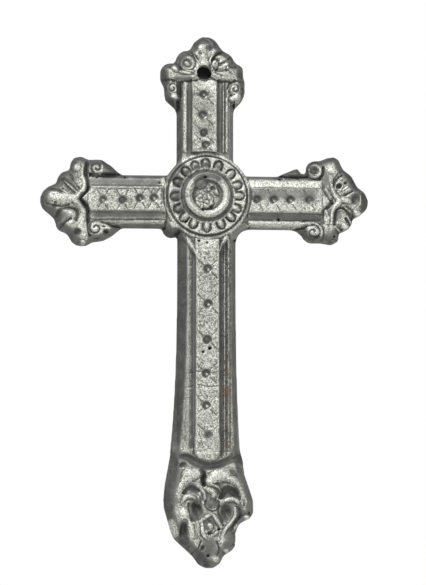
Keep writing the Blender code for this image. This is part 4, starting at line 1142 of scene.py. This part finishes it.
# %% Floor
FLOOR_DROP = 0.36
bpy.ops.object.select_all(action="DESELECT")
bpy.ops.mesh.primitive_cylinder_add(vertices=96, radius=0.9, depth=0.01, location=(0, 0, -FLOOR_DROP))
floor = bpy.context.object
floor.name = "floor"
pale, _ = new_material("pale_floor", {"Base Color": (0.82, 0.82, 0.80, 1), "Roughness": 0.8})
floor.data.materials.append(pale)
print("The floor lies", FLOOR_DROP, "m under the crossing")

# %% [markdown]
# The picture's ground was cut away around the outline, but the nail hole still shows the shade that lay
# behind it. A small dark card paints that shade here, a painted shadow a little lighter low down. It is
# no part of the cross, and it can't be seen from behind.

# %% Card behind the hole
CARD_RADIUS = 4.0 * MM
CARD_GAP = 0.3 * MM
bpy.ops.mesh.primitive_circle_add(vertices=32, radius=CARD_RADIUS, fill_type="NGON",
                                  location=(HOLE[0] * MM, CARD_GAP, HOLE[1] * MM),
                                  rotation=(math.pi / 2, 0, 0))
card = bpy.context.object
card.name = "painted_shade_card"
dusk, shader = new_material("painted_shade_card", {"Roughness": 0.9})
up = Sock.make("ShaderNodeSeparateXYZ", {}, {0: Sock.make("ShaderNodeTexCoord", out=3)}, out=1)
# Painted shade: near black at the top of the card, a little lighter low down, where some light would reach
# into the hole.
shade = blend_colours(up.span(-2.6 * MM, -0.4 * MM), (0.12, 0.12, 0.11, 1), (0.008, 0.008, 0.008, 1))
shade.into(shader, "Base Color")
ahead = 1.0 - Sock.make("ShaderNodeNewGeometry", out=6)
ahead.into(shader, "Alpha")
card.data.materials.append(dusk)
print("Radius of the card:", round(CARD_RADIUS / MM, 1), "mm")

# %% [markdown]
# Metal shows what is around it, so the light is mostly big and soft: a broad panel to the upper left
# that grazes the relief, a weaker one to the right, and a grey room around. What the camera itself sees
# behind the cross is white.

# %% Light
LIGHTS_AIM = Vector((0.0, 0.0, -0.035))
ROOM_STRENGTH = 0.45
world = bpy.data.worlds.new("studio")
bpy.context.scene.world = world
world.use_nodes = True
Sock.tree = world.node_tree
world.node_tree.nodes.clear()
seen = Sock.make("ShaderNodeLightPath", out=0)
white = Sock.make("ShaderNodeBackground", {}, {"Color": (1, 1, 1, 1), "Strength": 1.0})
room = Sock.make("ShaderNodeBackground", {}, {"Color": (0.95, 0.97, 1.0, 1), "Strength": ROOM_STRENGTH})
both = Sock.make("ShaderNodeMixShader", {}, {0: seen, 1: room, 2: white})
output = world.node_tree.nodes.new("ShaderNodeOutputWorld")
both.into(output, "Surface")


def softbox(name, place, size, power):
    """A square area light that looks at the cross."""
    bpy.ops.object.light_add(type="AREA", location=place)
    lamp = bpy.context.object
    lamp.name = name
    lamp.data.size = size
    lamp.data.energy = power
    print("Light:", name, power, "W")
    lamp.rotation_euler = (LIGHTS_AIM - Vector(place)).to_track_quat("-Z", "Y").to_euler()


softbox("key", (-0.42, -0.50, 0.62), 0.35, 8.0)
softbox("front", (0.10, -0.95, 0.25), 0.7, 3.0)
softbox("side", (0.65, -0.25, -0.25), 0.4, 1.2)

# %% [markdown]
# The camera stands off at the picture's angle, a little to the left and below, with a long lens, and
# frames the cross as the picture does.

# %% Camera
PICTURE = (426, 585)
DISTANCE = 3.2
CLOSER = 1.008
middle_x = (PICTURE[0] / 2 - AXIS_PX) * MM_PER_PIXEL * MM
middle_z = (AXIS_PY - PICTURE[1] / 2) * MM_PER_PIXEL * MM
aim = Vector((middle_x, 0.0, middle_z))
towards = Vector((-SIGHT_RIGHT, -1.0, -SIGHT_UP)).normalized()
camera_data = bpy.data.cameras.new("camera")
camera = bpy.data.objects.new("camera", camera_data)
bpy.context.scene.collection.objects.link(camera)
camera.location = aim + DISTANCE * towards
camera.rotation_euler = (-towards).to_track_quat("-Z", "Y").to_euler()
camera_data.sensor_width = 36.0
camera_data.lens = CLOSER * 36.0 * DISTANCE / (PICTURE[1] * MM_PER_PIXEL * MM)
bpy.context.scene.camera = camera
print("Lens:", round(camera_data.lens), "mm")
bpy.context.scene.view_settings.view_transform = "Standard"
